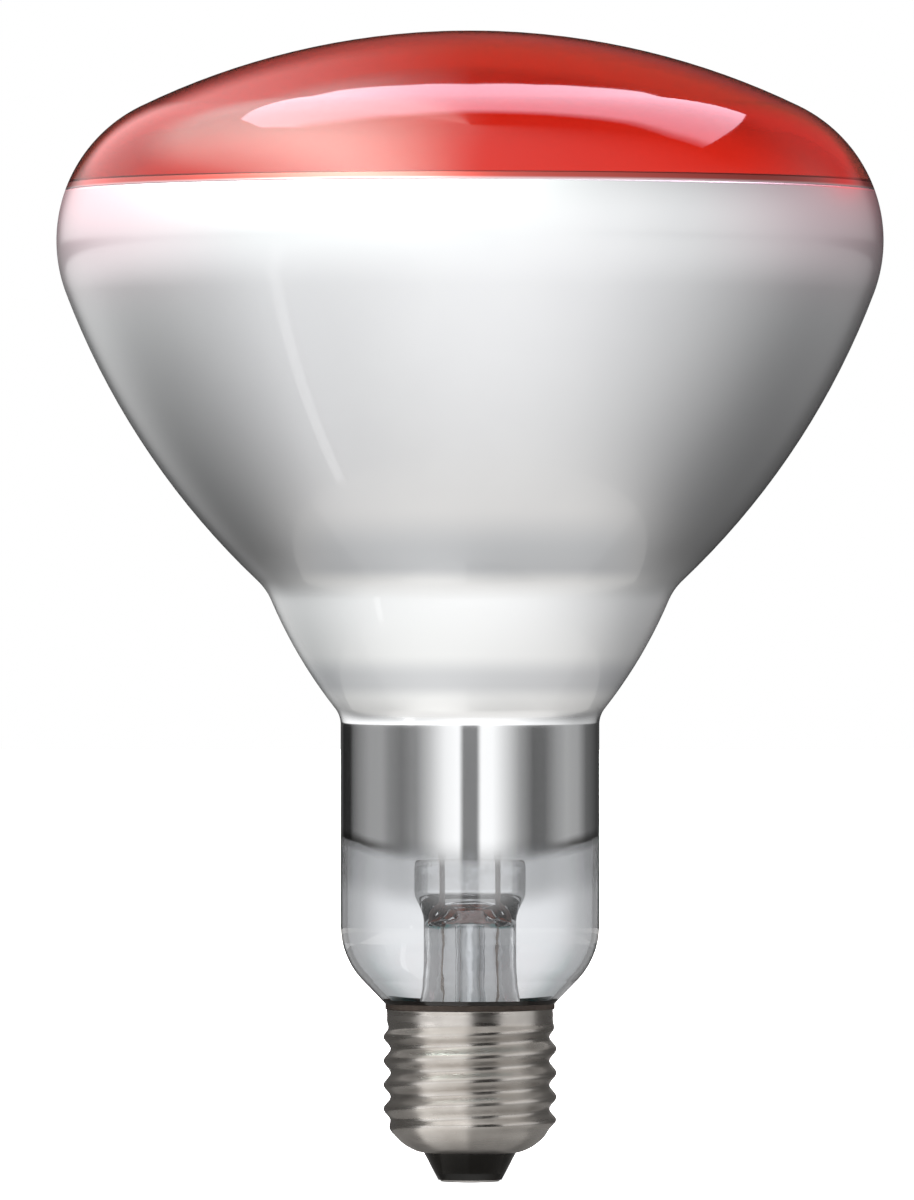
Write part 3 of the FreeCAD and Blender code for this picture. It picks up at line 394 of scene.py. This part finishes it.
def height_in_film(tree):
    """How far a point lies above the film's uneven lower edge, and how far round to the front or back."""
    place = lamp_point(tree)
    height = split(tree, place)[2]
    flat = add_node(tree, "ShaderNodeVectorMath", operation="MULTIPLY")
    tree.links.new(place, flat.inputs[0])
    flat.inputs[1].default_value = (1, 1, 0)
    heading = add_node(tree, "ShaderNodeVectorMath", operation="NORMALIZE")
    tree.links.new(flat.outputs["Vector"], heading.inputs[0])
    forward = split(tree, heading.outputs["Vector"])[1]
    front = multiply(tree, forward, forward)
    cloud = noise(tree, heading.outputs["Vector"], 4, 4)
    ragged = multiply(tree, calculate(tree, "SUBTRACT", cloud, 0.5), FILM_RAGGED)
    dipped = calculate(tree, "ADD", height, multiply(tree, front, FILM_DIP))
    above = calculate(tree, "SUBTRACT", calculate(tree, "ADD", dipped, ragged), FILM_EDGE)
    return above, front


def thin_edge(tree, colour):
    """Darkens the film where it thins out towards its lower edge, at the sides."""
    above, front = height_in_film(tree)
    along_edge = band(tree, above, *THIN_BAND)
    at_sides = smooth_step(tree, front, 0.85, 0.3, 0.05, 1.0)
    return blend(tree, multiply(tree, along_edge, at_sides), colour, THIN_FILM)


def film_over(tree, film, under):
    """Film above its lower edge, sharp at the sides and soft at the front, and what lies under it below."""
    above, front = height_in_film(tree)
    softness = smooth_step(tree, front, 0.25, 0.9, SHARP_SIDE, SOFT_FRONT)
    full = smooth_step(tree, calculate(tree, "DIVIDE", above, softness), -1, 1)
    haze = smooth_step(tree, above, *HAZE_RISE, 0, HAZE)
    share = calculate(tree, "MAXIMUM", full, haze)
    surface = choose(tree, share, under.outputs[0], film.outputs[0])
    tree.links.new(surface, tree.nodes["Material Output"].inputs["Surface"])


def blown_waves(tree, shader, place):
    """The slow waves that blowing leaves, longer along the lamp."""
    bump(tree, shader, noise(tree, place, 60, 1, (1, 1, 0.4)), 0.15, 0.6 * MM)


def mirror_roughness(tree, height):
    """Polished on the neck, satin on the reflector and softest on the heel."""
    satin = smooth_step(tree, height, *NECK_TO_BODY, POLISHED, SATIN)
    softer = smooth_step(tree, height, *SOFT_HEEL, 0.0, HEEL_SOFTENING)
    above_neck = smooth_step(tree, height, *HEEL_START)
    return calculate(tree, "ADD", satin, multiply(tree, softer, above_neck))


def silver_with_painted_light(tree, place):
    """Silver with painted light: a painted highlight that makes the heel paler, painted shade that makes
    its foot and the middle of the waist duller, and a painted pink sheen at the sides beside the red.
    """
    x, _, height = split(tree, place)
    aside = calculate(tree, "ABSOLUTE", x)
    cloud = smooth_step(tree, noise(tree, place, 28, 4), 0.3, 0.7)
    silver = blend(tree, cloud, *SILVER)
    # painted highlight on the heel
    heel_light_share = smooth_step(tree, height, *PALE_HEEL)
    silver = blend(tree, heel_light_share, silver, HEEL_PAINTED_LIGHT)
    # painted shade at the heel's foot
    foot_shade_share = band(tree, height, *HEEL_FOOT)
    silver = blend(tree, foot_shade_share, silver, FOOT_PAINTED_SHADE)
    # painted shade in the middle of the waist
    waist_shade_band = band(tree, height, *WAIST)
    in_middle = smooth_step(tree, aside, *WAIST_MIDDLE)
    silver = blend(tree, multiply(tree, waist_shade_band, in_middle), silver, WAIST_PAINTED_SHADE)
    # painted pink sheen at the sides below the red
    near_red = smooth_step(tree, height, *PAINTED_PINK_SHEEN_RISE)
    at_sides = smooth_step(tree, aside, *PAINTED_PINK_SHEEN_SIDES)
    return blend(tree, multiply(tree, near_red, at_sides), silver, PAINTED_PINK_SHEEN)


def mirror_material(name, has_film_edge):
    """Aluminised glass: satin on the reflector, polished on the neck."""
    material, tree, shader = new_material(name, Metallic=1.0, Coat_Weight=1.0, Coat_IOR=CLEAR_IOR)
    place = lamp_point(tree)
    height = split(tree, place)[2]
    coat = smooth_step(tree, height, *SHOULDER_RISE, COAT_ON_BODY, COAT_ON_SHOULDER)
    tree.links.new(coat, shader.inputs["Coat Roughness"])
    tree.links.new(mirror_roughness(tree, height), shader.inputs["Roughness"])
    # the silver's colour carries painted light and shade: on the heel, its foot, the waist and a pink sheen
    # at the sides
    silver = silver_with_painted_light(tree, place)
    if has_film_edge:
        glass = add_node(tree, "ShaderNodeBsdfPrincipled")
        glass.inputs["Base Color"].default_value = (*GLASS_TINT, 1)
        glass.inputs["Roughness"].default_value = 0.0
        glass.inputs["Transmission Weight"].default_value = 1.0
        glass.inputs["IOR"].default_value = CLEAR_IOR
        blown_waves(tree, glass, place)
        silver = thin_edge(tree, silver)
        film_over(tree, shader, glass)
    tree.links.new(silver, shader.inputs["Base Color"])
    bump(tree, shader, noise(tree, place, 420, 2), 0.05, 0.05 * MM)
    return material


def clear_glass_material():
    """Clear blown glass with slow waves in it, and painted shade that makes it a little darker just above
    the cap.
    """
    material, tree, shader = new_material(
        "clear_glass", Roughness=0.0, IOR=CLEAR_IOR, Transmission_Weight=1.0)
    place = lamp_point(tree)
    # painted shade on the glass just above the cap
    above_cap = smooth_step(tree, split(tree, place)[2], *CAP_TO_CLEAR)
    tree.links.new(blend(tree, above_cap, GLASS_SHADE_AT_CAP, GLASS_TINT), shader.inputs["Base Color"])
    blown_waves(tree, shader, place)
    return material


def stem_glass_material():
    """Flame-worked glass, a little wavy where it was pressed."""
    material, tree, shader = new_material(
        "stem_glass", Base_Color=(*STEM_TINT, 1), Roughness=0.0, IOR=STEM_IOR, Transmission_Weight=1.0)
    bump(tree, shader, noise(tree, lamp_point(tree), 260, 2), 0.35, 0.4 * MM)
    return material


def red_glass_material():
    """Glass with the red coat, slightly uneven in depth."""
    material, tree, shader = new_material(
        "red_front", Roughness=0.04, IOR=CLEAR_IOR, Transmission_Weight=1.0)
    place = lamp_point(tree)
    cloud = smooth_step(tree, noise(tree, place, 22, 3), 0.25, 0.75)
    tree.links.new(blend(tree, cloud, *RED_COAT), shader.inputs["Base Color"])
    bump(tree, shader, noise(tree, place, 45, 1), 0.05, 0.4 * MM)
    return material


def colour_edge_material():
    """Where the red coat laps over the silver film: pink below, red above."""
    material, tree, shader = new_material(
        "red_edge", Metallic=1.0, Roughness=0.3, Coat_Weight=1.0, Coat_Roughness=0.03, Coat_IOR=CLEAR_IOR)
    height = split(tree, lamp_point(tree))[2]
    share = smooth_step(tree, height, *PINK_TO_RED)
    tree.links.new(blend(tree, share, LAP_PINK, LAP_RED), shader.inputs["Base Color"])
    return material


def film_inside_material():
    """The film's bare inner side."""
    material, tree, shader = new_material("film_inside", Metallic=1.0)
    cloud = noise(tree, lamp_point(tree), 30, 3)
    tree.links.new(smooth_step(tree, cloud, 0.3, 0.7, 0.16, 0.24), shader.inputs["Roughness"])
    tree.links.new(blend(tree, cloud, *BARE_FILM), shader.inputs["Base Color"])
    film_over(tree, shader, add_node(tree, "ShaderNodeBsdfTransparent"))
    return material


def cap_material():
    """Nickel-plated sheet, with rolling marks round it and duller patches."""
    material, tree, shader = new_material("nickel_sheet", Metallic=1.0)
    place = lamp_point(tree)
    marks = noise(tree, place, 90, 4, (1, 1, 14))
    cloud = smooth_step(tree, noise(tree, place, 160, 4), 0.3, 0.75)
    tree.links.new(blend(tree, cloud, *NICKEL_SHEET), shader.inputs["Base Color"])
    tree.links.new(smooth_step(tree, marks, 0.25, 0.75, 0.24, 0.36), shader.inputs["Roughness"])
    bump(tree, shader, marks, 0.12, 0.08 * MM)
    return material


def black_glass_material():
    """The cap's black glass button."""
    material, tree, shader = new_material("black_glass", IOR=CLEAR_IOR, Specular_IOR_Level=0.3)
    cloud = noise(tree, lamp_point(tree), 300, 3)
    tree.links.new(blend(tree, cloud, *BLACK_BUTTON), shader.inputs["Base Color"])
    tree.links.new(smooth_step(tree, cloud, 0.3, 0.7, 0.10, 0.22), shader.inputs["Roughness"])
    bump(tree, shader, cloud, 0.25, 0.3 * MM)
    return material


def wire_material(name, dark, light, smoothest, roughest, scale=900):
    """Drawn wire or solder: fine marks, and a colour that is a little uneven."""
    material, tree, shader = new_material(name, Metallic=1.0)
    cloud = noise(tree, lamp_point(tree), scale, 3)
    tree.links.new(blend(tree, cloud, dark, light), shader.inputs["Base Color"])
    tree.links.new(smooth_step(tree, cloud, 0.3, 0.7, smoothest, roughest), shader.inputs["Roughness"])
    return material


def cement_and_shade_material():
    """Matte basing cement, made dark to serve also as painted shade in the gap above the cap's rim."""
    material, tree, shader = new_material("basing_cement", Roughness=0.9)
    cloud = noise(tree, lamp_point(tree), 900, 5)
    tree.links.new(blend(tree, cloud, *BASING_CEMENT_AND_SHADE), shader.inputs["Base Color"])
    bump(tree, shader, cloud, 0.6, 0.2 * MM)
    return material


MIRROR = mirror_material("mirror_film", False)
MIRROR_END = mirror_material("mirror_film_edge", True)
CLEAR = clear_glass_material()
STEM = stem_glass_material()
RED = red_glass_material()
RED_EDGE = colour_edge_material()
INSIDE = film_inside_material()
CAP = cap_material()
BLACK = black_glass_material()
NICKEL_WIRE = wire_material("nickel_wire", (0.40, 0.39, 0.37), (0.62, 0.60, 0.57), 0.22, 0.36)
COPPER_WIRE = wire_material("copper_wire", (0.66, 0.56, 0.50), (0.80, 0.70, 0.63), 0.25, 0.40)
SEAL_WIRE = wire_material("seal_wire", (0.16, 0.12, 0.11), (0.28, 0.20, 0.18), 0.35, 0.5)
TUNGSTEN = wire_material("tungsten", (0.20, 0.20, 0.21), (0.34, 0.34, 0.35), 0.35, 0.5)
SOLDER = wire_material("solder", (0.48, 0.48, 0.49), (0.74, 0.74, 0.75), 0.24, 0.42, 500)
CEMENT_AND_SHADE = cement_and_shade_material()


# pieces

def make_envelope():
    """The mirrored body and the clear neck, as one blown wall."""
    mirrored, clear, film_end = 0, 1, 2
    spans = [(COLOUR_EDGE, FADE_TOP, mirrored), (FADE_TOP, FADE_BOTTOM, film_end),
             (FADE_BOTTOM, SEAL, clear)]
    section = []
    for top, bottom, slot in spans:
        section += [(r, z, slot) for r, z in cut_outline(glass_outline(0), top, bottom)[:-1]]
    section.append((LAND_RADIUS, SEAL, clear))
    for top, bottom, slot in reversed(spans):
        rising = list(reversed(cut_outline(glass_outline(WALL), top, bottom)))
        section += [(r, z, slot) for r, z in rising[:-1]]
    section.append((*cut_outline(glass_outline(WALL), COLOUR_EDGE, FADE_TOP)[0], mirrored))
    piece = new_piece("bulb_glass", turned_mesh(section))
    give(piece, MIRROR, CLEAR, MIRROR_END)
    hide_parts("glass_envelope")
    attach(piece, "root")


def make_red_front():
    """The dome, glass and red coat together, down to the colour's edge."""
    lap_top = COLOUR_EDGE + COLOUR_LAP
    inset = WALL + FILM
    red, lap = 0, 1
    section = [(r, z, red) for r, z in cut_outline(glass_outline(0), TOP, lap_top)[:-1]]
    section += [(r, z, lap) for r, z in cut_outline(glass_outline(0), lap_top, COLOUR_EDGE)]
    rising = list(reversed(cut_outline(glass_outline(inset), lap_top, COLOUR_EDGE)))
    section += [(r, z, lap) for r, z in rising[:-1]]
    section += [(r, z, red) for r, z in reversed(cut_outline(glass_outline(inset), TOP - inset, lap_top))]
    piece = new_piece("red_front", turned_mesh(section))
    give(piece, RED, RED_EDGE)
    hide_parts("red_coating")
    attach(piece, "root")


def make_cement_and_shade_line():
    """A dark ring on the glass just above the bead: partly the cement's feathered upper edge, partly
    painted shade of the gap above the cap's rim.
    """
    # partly cement, partly painted shadow line above the cap's rim
    corners = [(12.82, 27.0), (13.42, 27.62), (13.3, 27.68), (12.6, 26.9)]
    section = [(radius * MM, height * MM, 0) for radius, height in corners]
    piece = new_piece("cement_and_shade_line", turned_mesh(section))
    give(piece, CEMENT_AND_SHADE)
    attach(piece, "root")


def slot_ring(mesh, across, deep, height):
    """A ring of vertices with two straight sides and round ends, or a plain circle."""
    ring = []
    for i in range(STEM_STEPS):
        turn = TURN * (i + 0.5) / STEM_STEPS
        shift = math.copysign(across - deep, math.cos(turn))
        ring.append(mesh.verts.new((shift + deep * math.cos(turn), deep * math.sin(turn), height)))
    return ring


# the stem's rings in millimetres: half the width, half the depth and the height

PRESS_AND_FLARE = [
    (8.0, 1.9, 48.7), (8.3, 2.2, 48.3), (8.4, 2.3, 47.6), (8.4, 2.3, 44.2), (8.35, 2.4, 43.4),
    (8.1, 3.0, 42.7), (7.7, 4.3, 41.9), (7.35, 5.8, 41.1), (7.1, 6.7, 40.3), (7.0, 7.0, 39.5),
    (7.0, 7.0, 33.5), (7.05, 7.05, 31.6), (7.25, 7.25, 29.6), (7.6, 7.6, 27.6), (8.2, 8.2, 25.6),
    (9.0, 9.0, 23.9), (10.0, 10.0, 22.6)]
BORE = [
    (11.0, 11.0, 22.6), (11.0, 11.0, 21.6), (9.6, 9.6, 21.6), (7.8, 7.8, 23.0), (6.4, 6.4, 25.2),
    (5.5, 5.5, 27.8), (5.0, 5.0, 30.6), (4.8, 4.8, 33.5), (4.8, 4.75, 38.2), (4.6, 4.3, 39.4),
    (3.8, 3.2, 40.2), (2.2, 1.8, 40.6)]
PRESS_TOP = 48.9 * MM
BORE_ROOF = 40.7 * MM


def make_stem():
    """The flared tube and its press, with the soft forms that a flame leaves."""
    mesh = bmesh.new()
    rings = [slot_ring(mesh, *(value * MM for value in row)) for row in PRESS_AND_FLARE + BORE]
    crown = mesh.verts.new((0, 0, PRESS_TOP))
    roof = mesh.verts.new((0, 0, BORE_ROOF))
    for i in range(STEM_STEPS):
        j = (i + 1) % STEM_STEPS
        mesh.faces.new((crown, rings[0][i], rings[0][j]))
        mesh.faces.new((roof, rings[-1][j], rings[-1][i]))
        for upper, lower in zip(rings, rings[1:]):
            mesh.faces.new((upper[i], lower[i], lower[j], upper[j]))
    for face in mesh.faces:
        face.smooth = True
    bmesh.ops.recalc_face_normals(mesh, faces=mesh.faces)
    piece = new_piece("stem_tube", mesh)
    give(piece, STEM)
    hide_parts("stem_glass")
    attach(piece, "root")


def make_filament():
    """The tungsten coil, bent into most of a ring at the height of its solid."""
    turns, steps_a_turn, sides = 96, 14, 6
    ring_radius, coil_radius, wire_radius = 14 * MM, 0.72 * MM, 0.17 * MM
    half_gap = math.radians(35)
    low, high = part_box("filament")
    middle = (low.z + high.z) / 2
    count = turns * steps_a_turn

    def centre(step):
        heading = half_gap - math.pi / 2 + (TURN - 2 * half_gap) * step / count
        roll = TURN * step / steps_a_turn
        out = ring_radius + coil_radius * math.cos(roll)
        height = middle + coil_radius * math.sin(roll)
        return Vector((out * math.cos(heading), out * math.sin(heading), height))

    mesh = bmesh.new()
    rings = []
    for step in range(count + 1):
        along = (centre(step + 0.5) - centre(step - 0.5)).normalized()
        side = along.cross(Vector((0, 0, 1))).normalized()
        rise = side.cross(along)
        angles = [TURN * k / sides for k in range(sides)]
        rings.append([
            mesh.verts.new(centre(step) + wire_radius * (side * math.cos(angle) + rise * math.sin(angle)))
            for angle in angles])
    for first, second in zip(rings, rings[1:]):
        for k in range(sides):
            following = (k + 1) % sides
            face = mesh.faces.new((first[k], first[following], second[following], second[k]))
            face.smooth = True
    mesh.faces.new(rings[0])
    mesh.faces.new(rings[-1])
    bmesh.ops.recalc_face_normals(mesh, faces=mesh.faces)
    piece = new_piece("filament_coil", mesh)
    give(piece, TUNGSTEN)
    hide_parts("filament")
    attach(piece, "root")


def dress_nodes():
    """Materials for the pieces that keep their own solids."""
    finishes = {
        "reflector_coating": INSIDE,
        "exhaust_tube": STEM,
        "support_rod": STEM,
        "inner_lead_left": NICKEL_WIRE,
        "inner_lead_right": NICKEL_WIRE,
        "seal_wire_left": SEAL_WIRE,
        "seal_wire_right": SEAL_WIRE,
        "outer_lead_centre": COPPER_WIRE,
        "outer_lead_side": COPPER_WIRE,
        "filament_support_1": TUNGSTEN,
        "filament_support_2": TUNGSTEN,
        "filament_support_3": TUNGSTEN,
        "filament_support_4": TUNGSTEN,
        "cap_shell": CAP,
        "basing_cement": CEMENT_AND_SHADE,
        "cap_insulator": BLACK,
        "centre_contact": CAP,
        "centre_solder": SOLDER,
        "side_solder": SOLDER,
    }
    for name, material in finishes.items():
        give(nodes[name], material)


make_envelope()
make_red_front()
make_cement_and_shade_line()
make_stem()
make_filament()
dress_nodes()


# studio

# brightness that the lamp reflects, by azimuth in degrees, camera at 0 and + to its right

AT_NECK_HEIGHT = [
    (-180, 0.06), (-160, 0.06), (-155, 0.02), (-135, 0.02), (-128, 0.12), (-118, 0.20), (-101, 0.30),
    (-86, 0.30), (-77, 0.20), (-64, 0.13), (-49, 0.21), (-36, 0.50), (-22, 0.90), (-10, 1.02),
    (-6, 0.165), (6, 0.165), (10, 1.02), (20, 1.0), (31, 0.68), (45, 0.285), (58, 0.09), (70, 0.11),
    (84, 0.28), (96, 0.37), (112, 0.33), (127, 0.12), (157, 0.04), (161, 0.05), (180, 0.05)]
LEVEL = [
    (-180, 0.02), (-165, 0.03), (-154, 0.75), (-140, 1.12), (-106, 1.2), (-61, 1.28), (0, 1.30),
    (25, 1.28), (42, 1.20), (61, 1.03), (81, 0.88), (106, 0.58), (134, 0.48), (149, 0.32),
    (158, 0.04), (180, 0.02)]
SLANTED_DOWN = [
    (-180, 0.02), (-141, 0.02), (-116, 0.19), (-91, 0.53), (-67, 0.73), (-33, 0.97), (-12, 1.16),
    (0, 1.22), (14, 1.18), (40, 1.04), (67, 0.71), (91, 0.42), (116, 0.12), (148, 0.06), (180, 0.05)]
STRAIGHT_DOWN = 0.55
SLANTED_UP = [
    (-180, 0.05), (-176, 0.35), (-168, 1.7), (-152, 2.1), (-140, 1.4), (-124, 1.1), (-110, 1.1),
    (-80, 1.0), (-40, 1.1), (0, 1.15), (60, 0.6), (100, 0.08), (180, 0.02)]

# brightness and colour seen through the glass, then the colours of the softbox and of the panels
# behind the dome, with the thin line at its outline last

BEHIND_GLASS = 0.94
BESIDE_GLASS = 0.57
DEEP_GLASS = 0.6
ABOVE_GLASS = (0.09, 0.25, 0.25)
SOFTBOX = (7.8, 9.2, 8.5)
RIM_LEFT = (2.2, 1.1, 1.1)
RIM_MIDDLE = (0.50, 0.10, 0.07)
RIM_RIGHT = (1.25, 0.13, 0.13)
RIM_LINE = (0.22, 0.05, 0.06)


def ramp(tree, value, stops):
    """Brightness against azimuth, straight between its stops."""
    node = add_node(tree, "ShaderNodeValToRGB")
    line = node.color_ramp
    line.interpolation = "LINEAR"
    for index, (degrees, level) in enumerate(stops):
        position = (degrees + 180) / 360
        stop = line.elements[index] if index < 2 else line.elements.new(position)
        stop.position = position
        stop.color = (level, level, level, 1)
    tree.links.new(value, node.inputs["Fac"])
    return node.outputs["Color"]


def softbox_light(tree, x, y, z):
    """A large bright softbox high on the left, soft at all its edges."""
    wide = band(tree, x, (0.08, -0.48), (-1.0, -0.45))
    near = smooth_step(tree, y, 0.9, -0.25)
    high = smooth_step(tree, z, 0.46, 0.66)
    share = multiply(tree, wide, multiply(tree, near, high))
    return blend(tree, share, (0, 0, 0), SOFTBOX)


def dome_rim(tree, x, y, z, light):
    """Low panels behind the lamp that keep the dome's outline coloured: pale left, dark right."""
    behind = smooth_step(tree, y, 0.5, 0.8)
    low = band(tree, z, (0.16, 0.3), (0.7, 0.58))
    colour = blend(tree, smooth_step(tree, x, -0.3, 0.02), RIM_LEFT, RIM_MIDDLE)
    colour = blend(tree, smooth_step(tree, x, 0.15, 0.5), colour, RIM_RIGHT)
    colour = blend(tree, smooth_step(tree, y, 0.88, 0.97), colour, RIM_LINE)
    return blend(tree, multiply(tree, behind, low), light, colour)


def reflected_light(tree, x, y, z):
    """What the lamp reflects from each direction."""
    turn = calculate(tree, "ARCTAN2", x, multiply(tree, y, -1))
    azimuth = calculate(tree, "ADD", calculate(tree, "DIVIDE", turn, TURN), 0.5)
    slant = multiply(tree, calculate(tree, "ARCSINE", z), 180 / math.pi)
    light = ramp(tree, azimuth, LEVEL)
    light = blend(tree, smooth_step(tree, slant, -2, -28), light, ramp(tree, azimuth, SLANTED_DOWN))
    light = blend(tree, smooth_step(tree, slant, -38, -92), light, (STRAIGHT_DOWN,) * 3)
    light = blend(tree, smooth_step(tree, slant, 12, 45), light, ramp(tree, azimuth, SLANTED_UP))
    light = dome_rim(tree, x, y, z, light)
    off_level = calculate(tree, "ABSOLUTE", calculate(tree, "ADD", slant, 0.75))
    light = blend(tree, smooth_step(tree, off_level, 2.2, 1.3), light, ramp(tree, azimuth, AT_NECK_HEIGHT))
    return blend(tree, 1, light, softbox_light(tree, x, y, z), "ADD")


def refracted_light(tree, x, y, z):
    """What shows through the glass: bright straight behind it, dimmer beside and above."""
    aside = calculate(tree, "ABSOLUTE", x)
    level = smooth_step(tree, aside, 0.02, 0.12, BEHIND_GLASS, BESIDE_GLASS)
    level = multiply(tree, level, smooth_step(tree, y, 0.9, 0.985, DEEP_GLASS, 1.0))
    return blend(tree, smooth_step(tree, z, 0.25, 0.5), level, ABOVE_GLASS)


def background(tree, colour):
    """A world shader of one linked or plain colour."""
    shader = add_node(tree, "ShaderNodeBackground")
    feed(tree, shader.inputs["Color"], colour)
    return shader.outputs[0]


def make_world():
    """White to the eye, and a studio of soft panels to what reflects or refracts it."""
    world = bpy.data.worlds.new("studio")
    scene.world = world
    world.use_nodes = True
    tree = world.node_tree
    tree.nodes.clear()
    x, y, z = split(tree, add_node(tree, "ShaderNodeTexCoord").outputs["Generated"])
    path = add_node(tree, "ShaderNodeLightPath")
    reflected = background(tree, reflected_light(tree, x, y, z))
    refracted = background(tree, refracted_light(tree, x, y, z))
    studio = choose(tree, path.outputs["Is Transmission Ray"], reflected, refracted)
    white = background(tree, (1, 1, 1))
    out = add_node(tree, "ShaderNodeOutputWorld")
    tree.links.new(choose(tree, path.outputs["Is Camera Ray"], studio, white), out.inputs["Surface"])


def make_floor():
    """A plain pale floor that the cap's tip touches."""
    size = 6.0
    mesh = bmesh.new()
    bmesh.ops.create_grid(mesh, x_segments=2, y_segments=2, size=size)
    floor = new_piece("floor", mesh)
    pale, white = (0.8, 0.8, 0.8, 1), (1, 1, 1, 1)
    material = new_material(
        "floor", Base_Color=pale, Roughness=0.9, Emission_Color=white, Emission_Strength=1.0)[0]
    give(floor, material)
    floor.visible_glossy = False
    floor.visible_transmission = False


def stage_panel(name, rails, colour, strength, edge_strength, is_sheer=False, shades=False):
    """A glowing sheet between two rails of points, with a strength of its own at the second rail.

    A sheer panel adds its glow to what is behind it, and any other hides it.
    """
    dark = (0.004, 0.004, 0.004, 1)
    edge_share = 0.2
    mesh = bmesh.new()
    glow = mesh.loops.layers.float_color.new("glow")
    posts = [(mesh.verts.new(first), mesh.verts.new(second)) for first, second in rails]
    for (a, b), (c, d) in zip(posts, posts[1:]):
        face = mesh.faces.new((a, b, d, c))
        for loop, share in zip(face.loops, (1, 0, 0, 1)):
            loop[glow] = (share, share, share, 1)
    panel = new_piece(name, mesh)
    material, tree, shader = new_material(
        name, Base_Color=dark, Roughness=1.0, Specular_IOR_Level=0.0, Emission_Color=(*colour, 1))
    share = add_node(tree, "ShaderNodeAttribute", attribute_name="glow").outputs["Fac"]
    glowing = smooth_step(tree, share, 0, edge_share, edge_strength, strength)
    tree.links.new(glowing, shader.inputs["Emission Strength"])
    if is_sheer:
        clear = add_node(tree, "ShaderNodeBsdfTransparent")
        total = add_node(tree, "ShaderNodeAddShader")
        tree.links.new(shader.outputs[0], total.inputs[0])
        tree.links.new(clear.outputs[0], total.inputs[1])
        tree.links.new(total.outputs[0], tree.nodes["Material Output"].inputs["Surface"])
    give(panel, material)
    panel.visible_camera = False
    panel.visible_transmission = False
    panel.visible_shadow = shades


def toward_light(azimuth, elevation):
    """A direction, with azimuth 0 towards the camera and + to its right."""
    flat = math.cos(math.radians(elevation))
    return Vector((math.sin(math.radians(azimuth)) * flat,
                   -math.cos(math.radians(azimuth)) * flat,
                   math.sin(math.radians(elevation))))


# the panel that the dome reflects, as azimuth and elevation of its lower and upper edge from the dome

DOME_HEIGHT = 165 * MM
DOME_PANEL_AWAY = 2
DOME_PANEL = [
    ((-138, 49.9), (-118, 55.9)), ((-166, 42.3), (-107, 63.5)), ((-169, 42.9), (-109, 69.4)),
    ((-174, 45.4), (-131, 77.1)), ((180, 46.6), (180, 79.1)), ((174, 45.2), (140, 75.4)),
    ((170, 42.6), (124, 70.7)), ((167, 39.0), (114, 65.2)), ((161, 38.0), (100, 56.5)),
    ((152, 37.0), (98, 47.9))]
DOME_PANEL_COLOUR = (1.4, 1, 1.24)

# the narrow strip on the floor that the reflector shows as a pale line, its corners in millimetres

FLOOR_SEAM = [((-33, -15, 1), (-36, -11, 1)), ((-1060, -838, 1), (-1095, -781, 1))]

# bent panels round the cap and on the floor: name, first and last azimuth in degrees, radius and height
# in millimetres of the first and the second rail, strength over most of it and at the second rail

CARDS = (
    ("front_card", 1, 34, (32, 1), (32, 32), (0.02, 0.02)),
    ("right_card", 84, 140, (32, 1), (32, 32), (0.10, 0.10)),
    ("back_card", 140, 205, (32, 1), (32, 34), (0.35, 0.35)),
    ("left_card", -155, -63, (32, 1), (32, 32), (0.10, 0.10)),
    ("hood_left", -63, -3, (19.8, 36), (36, 36), (1.25, 1.25)),
    ("hood_right", -3, 78, (19.8, 36), (36, 36), (0.56, 0.56)),
    ("hood_back", 78, 297, (19.8, 36), (36, 36), (0.28, 0.28)),
    ("hood_front", -72, 80, (36, 36), (75, 36), (0.85, 0.85)),
    ("hood_behind", 80, 288, (36, 36), (75, 36), (0.55, 0.55)),
    ("foot_left", -65, -3, (70, 0.4), (6, 0.4), (1.05, 0.35)),
    ("foot_right", -3, 78, (70, 0.4), (6, 0.4), (0.48, 0.25)),
    ("foot_back", 78, 295, (70, 0.4), (6, 0.4), (0.25, 0.15)))
CARD_STEPS = 24
CARD_COLOUR = (1, 0.98, 0.95)


def make_lights():
    """Glowing panels that the lamp reflects, and that the camera and the glass don't show."""
    dome = Vector((0, 0, DOME_HEIGHT))
    arch = [[dome + toward_light(*edge) * DOME_PANEL_AWAY for edge in edges] for edges in DOME_PANEL]
    stage_panel("dome_panel", arch, DOME_PANEL_COLOUR, 3.1, 0.6, is_sheer=True)
    seam = [[Vector(corner) * MM for corner in corners] for corners in FLOOR_SEAM]
    stage_panel("floor_seam", seam, (1, 1, 1), 2.0, 2.0)
    for name, start, end, first, second, strengths in CARDS:
        rails = []
        for i in range(CARD_STEPS + 1):
            out = toward_light(start + (end - start) * i / CARD_STEPS, 0) * MM
            rails.append([out * radius + Vector((0, 0, height * MM)) for radius, height in (first, second)])
        stage_panel(name, rails, CARD_COLOUR, *strengths, shades=not name.startswith("foot"))


# the photograph's frame: its height in pixels and on the lamp, and the pixel columns of the lamp's axis
# and of the frame's middle; then the camera, with its sensor in millimetres

PICTURE_HEIGHT = 1200
PICTURE_SPAN = 181.4 * MM
AXIS_PIXEL = 470
MIDDLE_PIXEL = 457
CAMERA_DISTANCE = 2.08
CAMERA_HEIGHT = 88 * MM
SENSOR = 36


def make_camera():
    """A long lens, level with the middle of the lamp."""
    pixels_a_metre = PICTURE_HEIGHT / PICTURE_SPAN
    camera = bpy.data.cameras.new("camera")
    camera.sensor_fit = "VERTICAL"
    camera.sensor_height = SENSOR
    camera.sensor_width = SENSOR
    camera.lens = SENSOR * CAMERA_DISTANCE / PICTURE_SPAN
    camera.clip_end = 50
    holder = bpy.data.objects.new("camera", camera)
    scene.collection.objects.link(holder)
    holder.location = ((MIDDLE_PIXEL - AXIS_PIXEL) / pixels_a_metre, -CAMERA_DISTANCE, CAMERA_HEIGHT)
    holder.rotation_euler = (math.pi / 2, 0, 0)
    scene.camera = holder


make_world()
make_floor()
make_lights()
make_camera()
scene.view_settings.view_transform = "Standard"
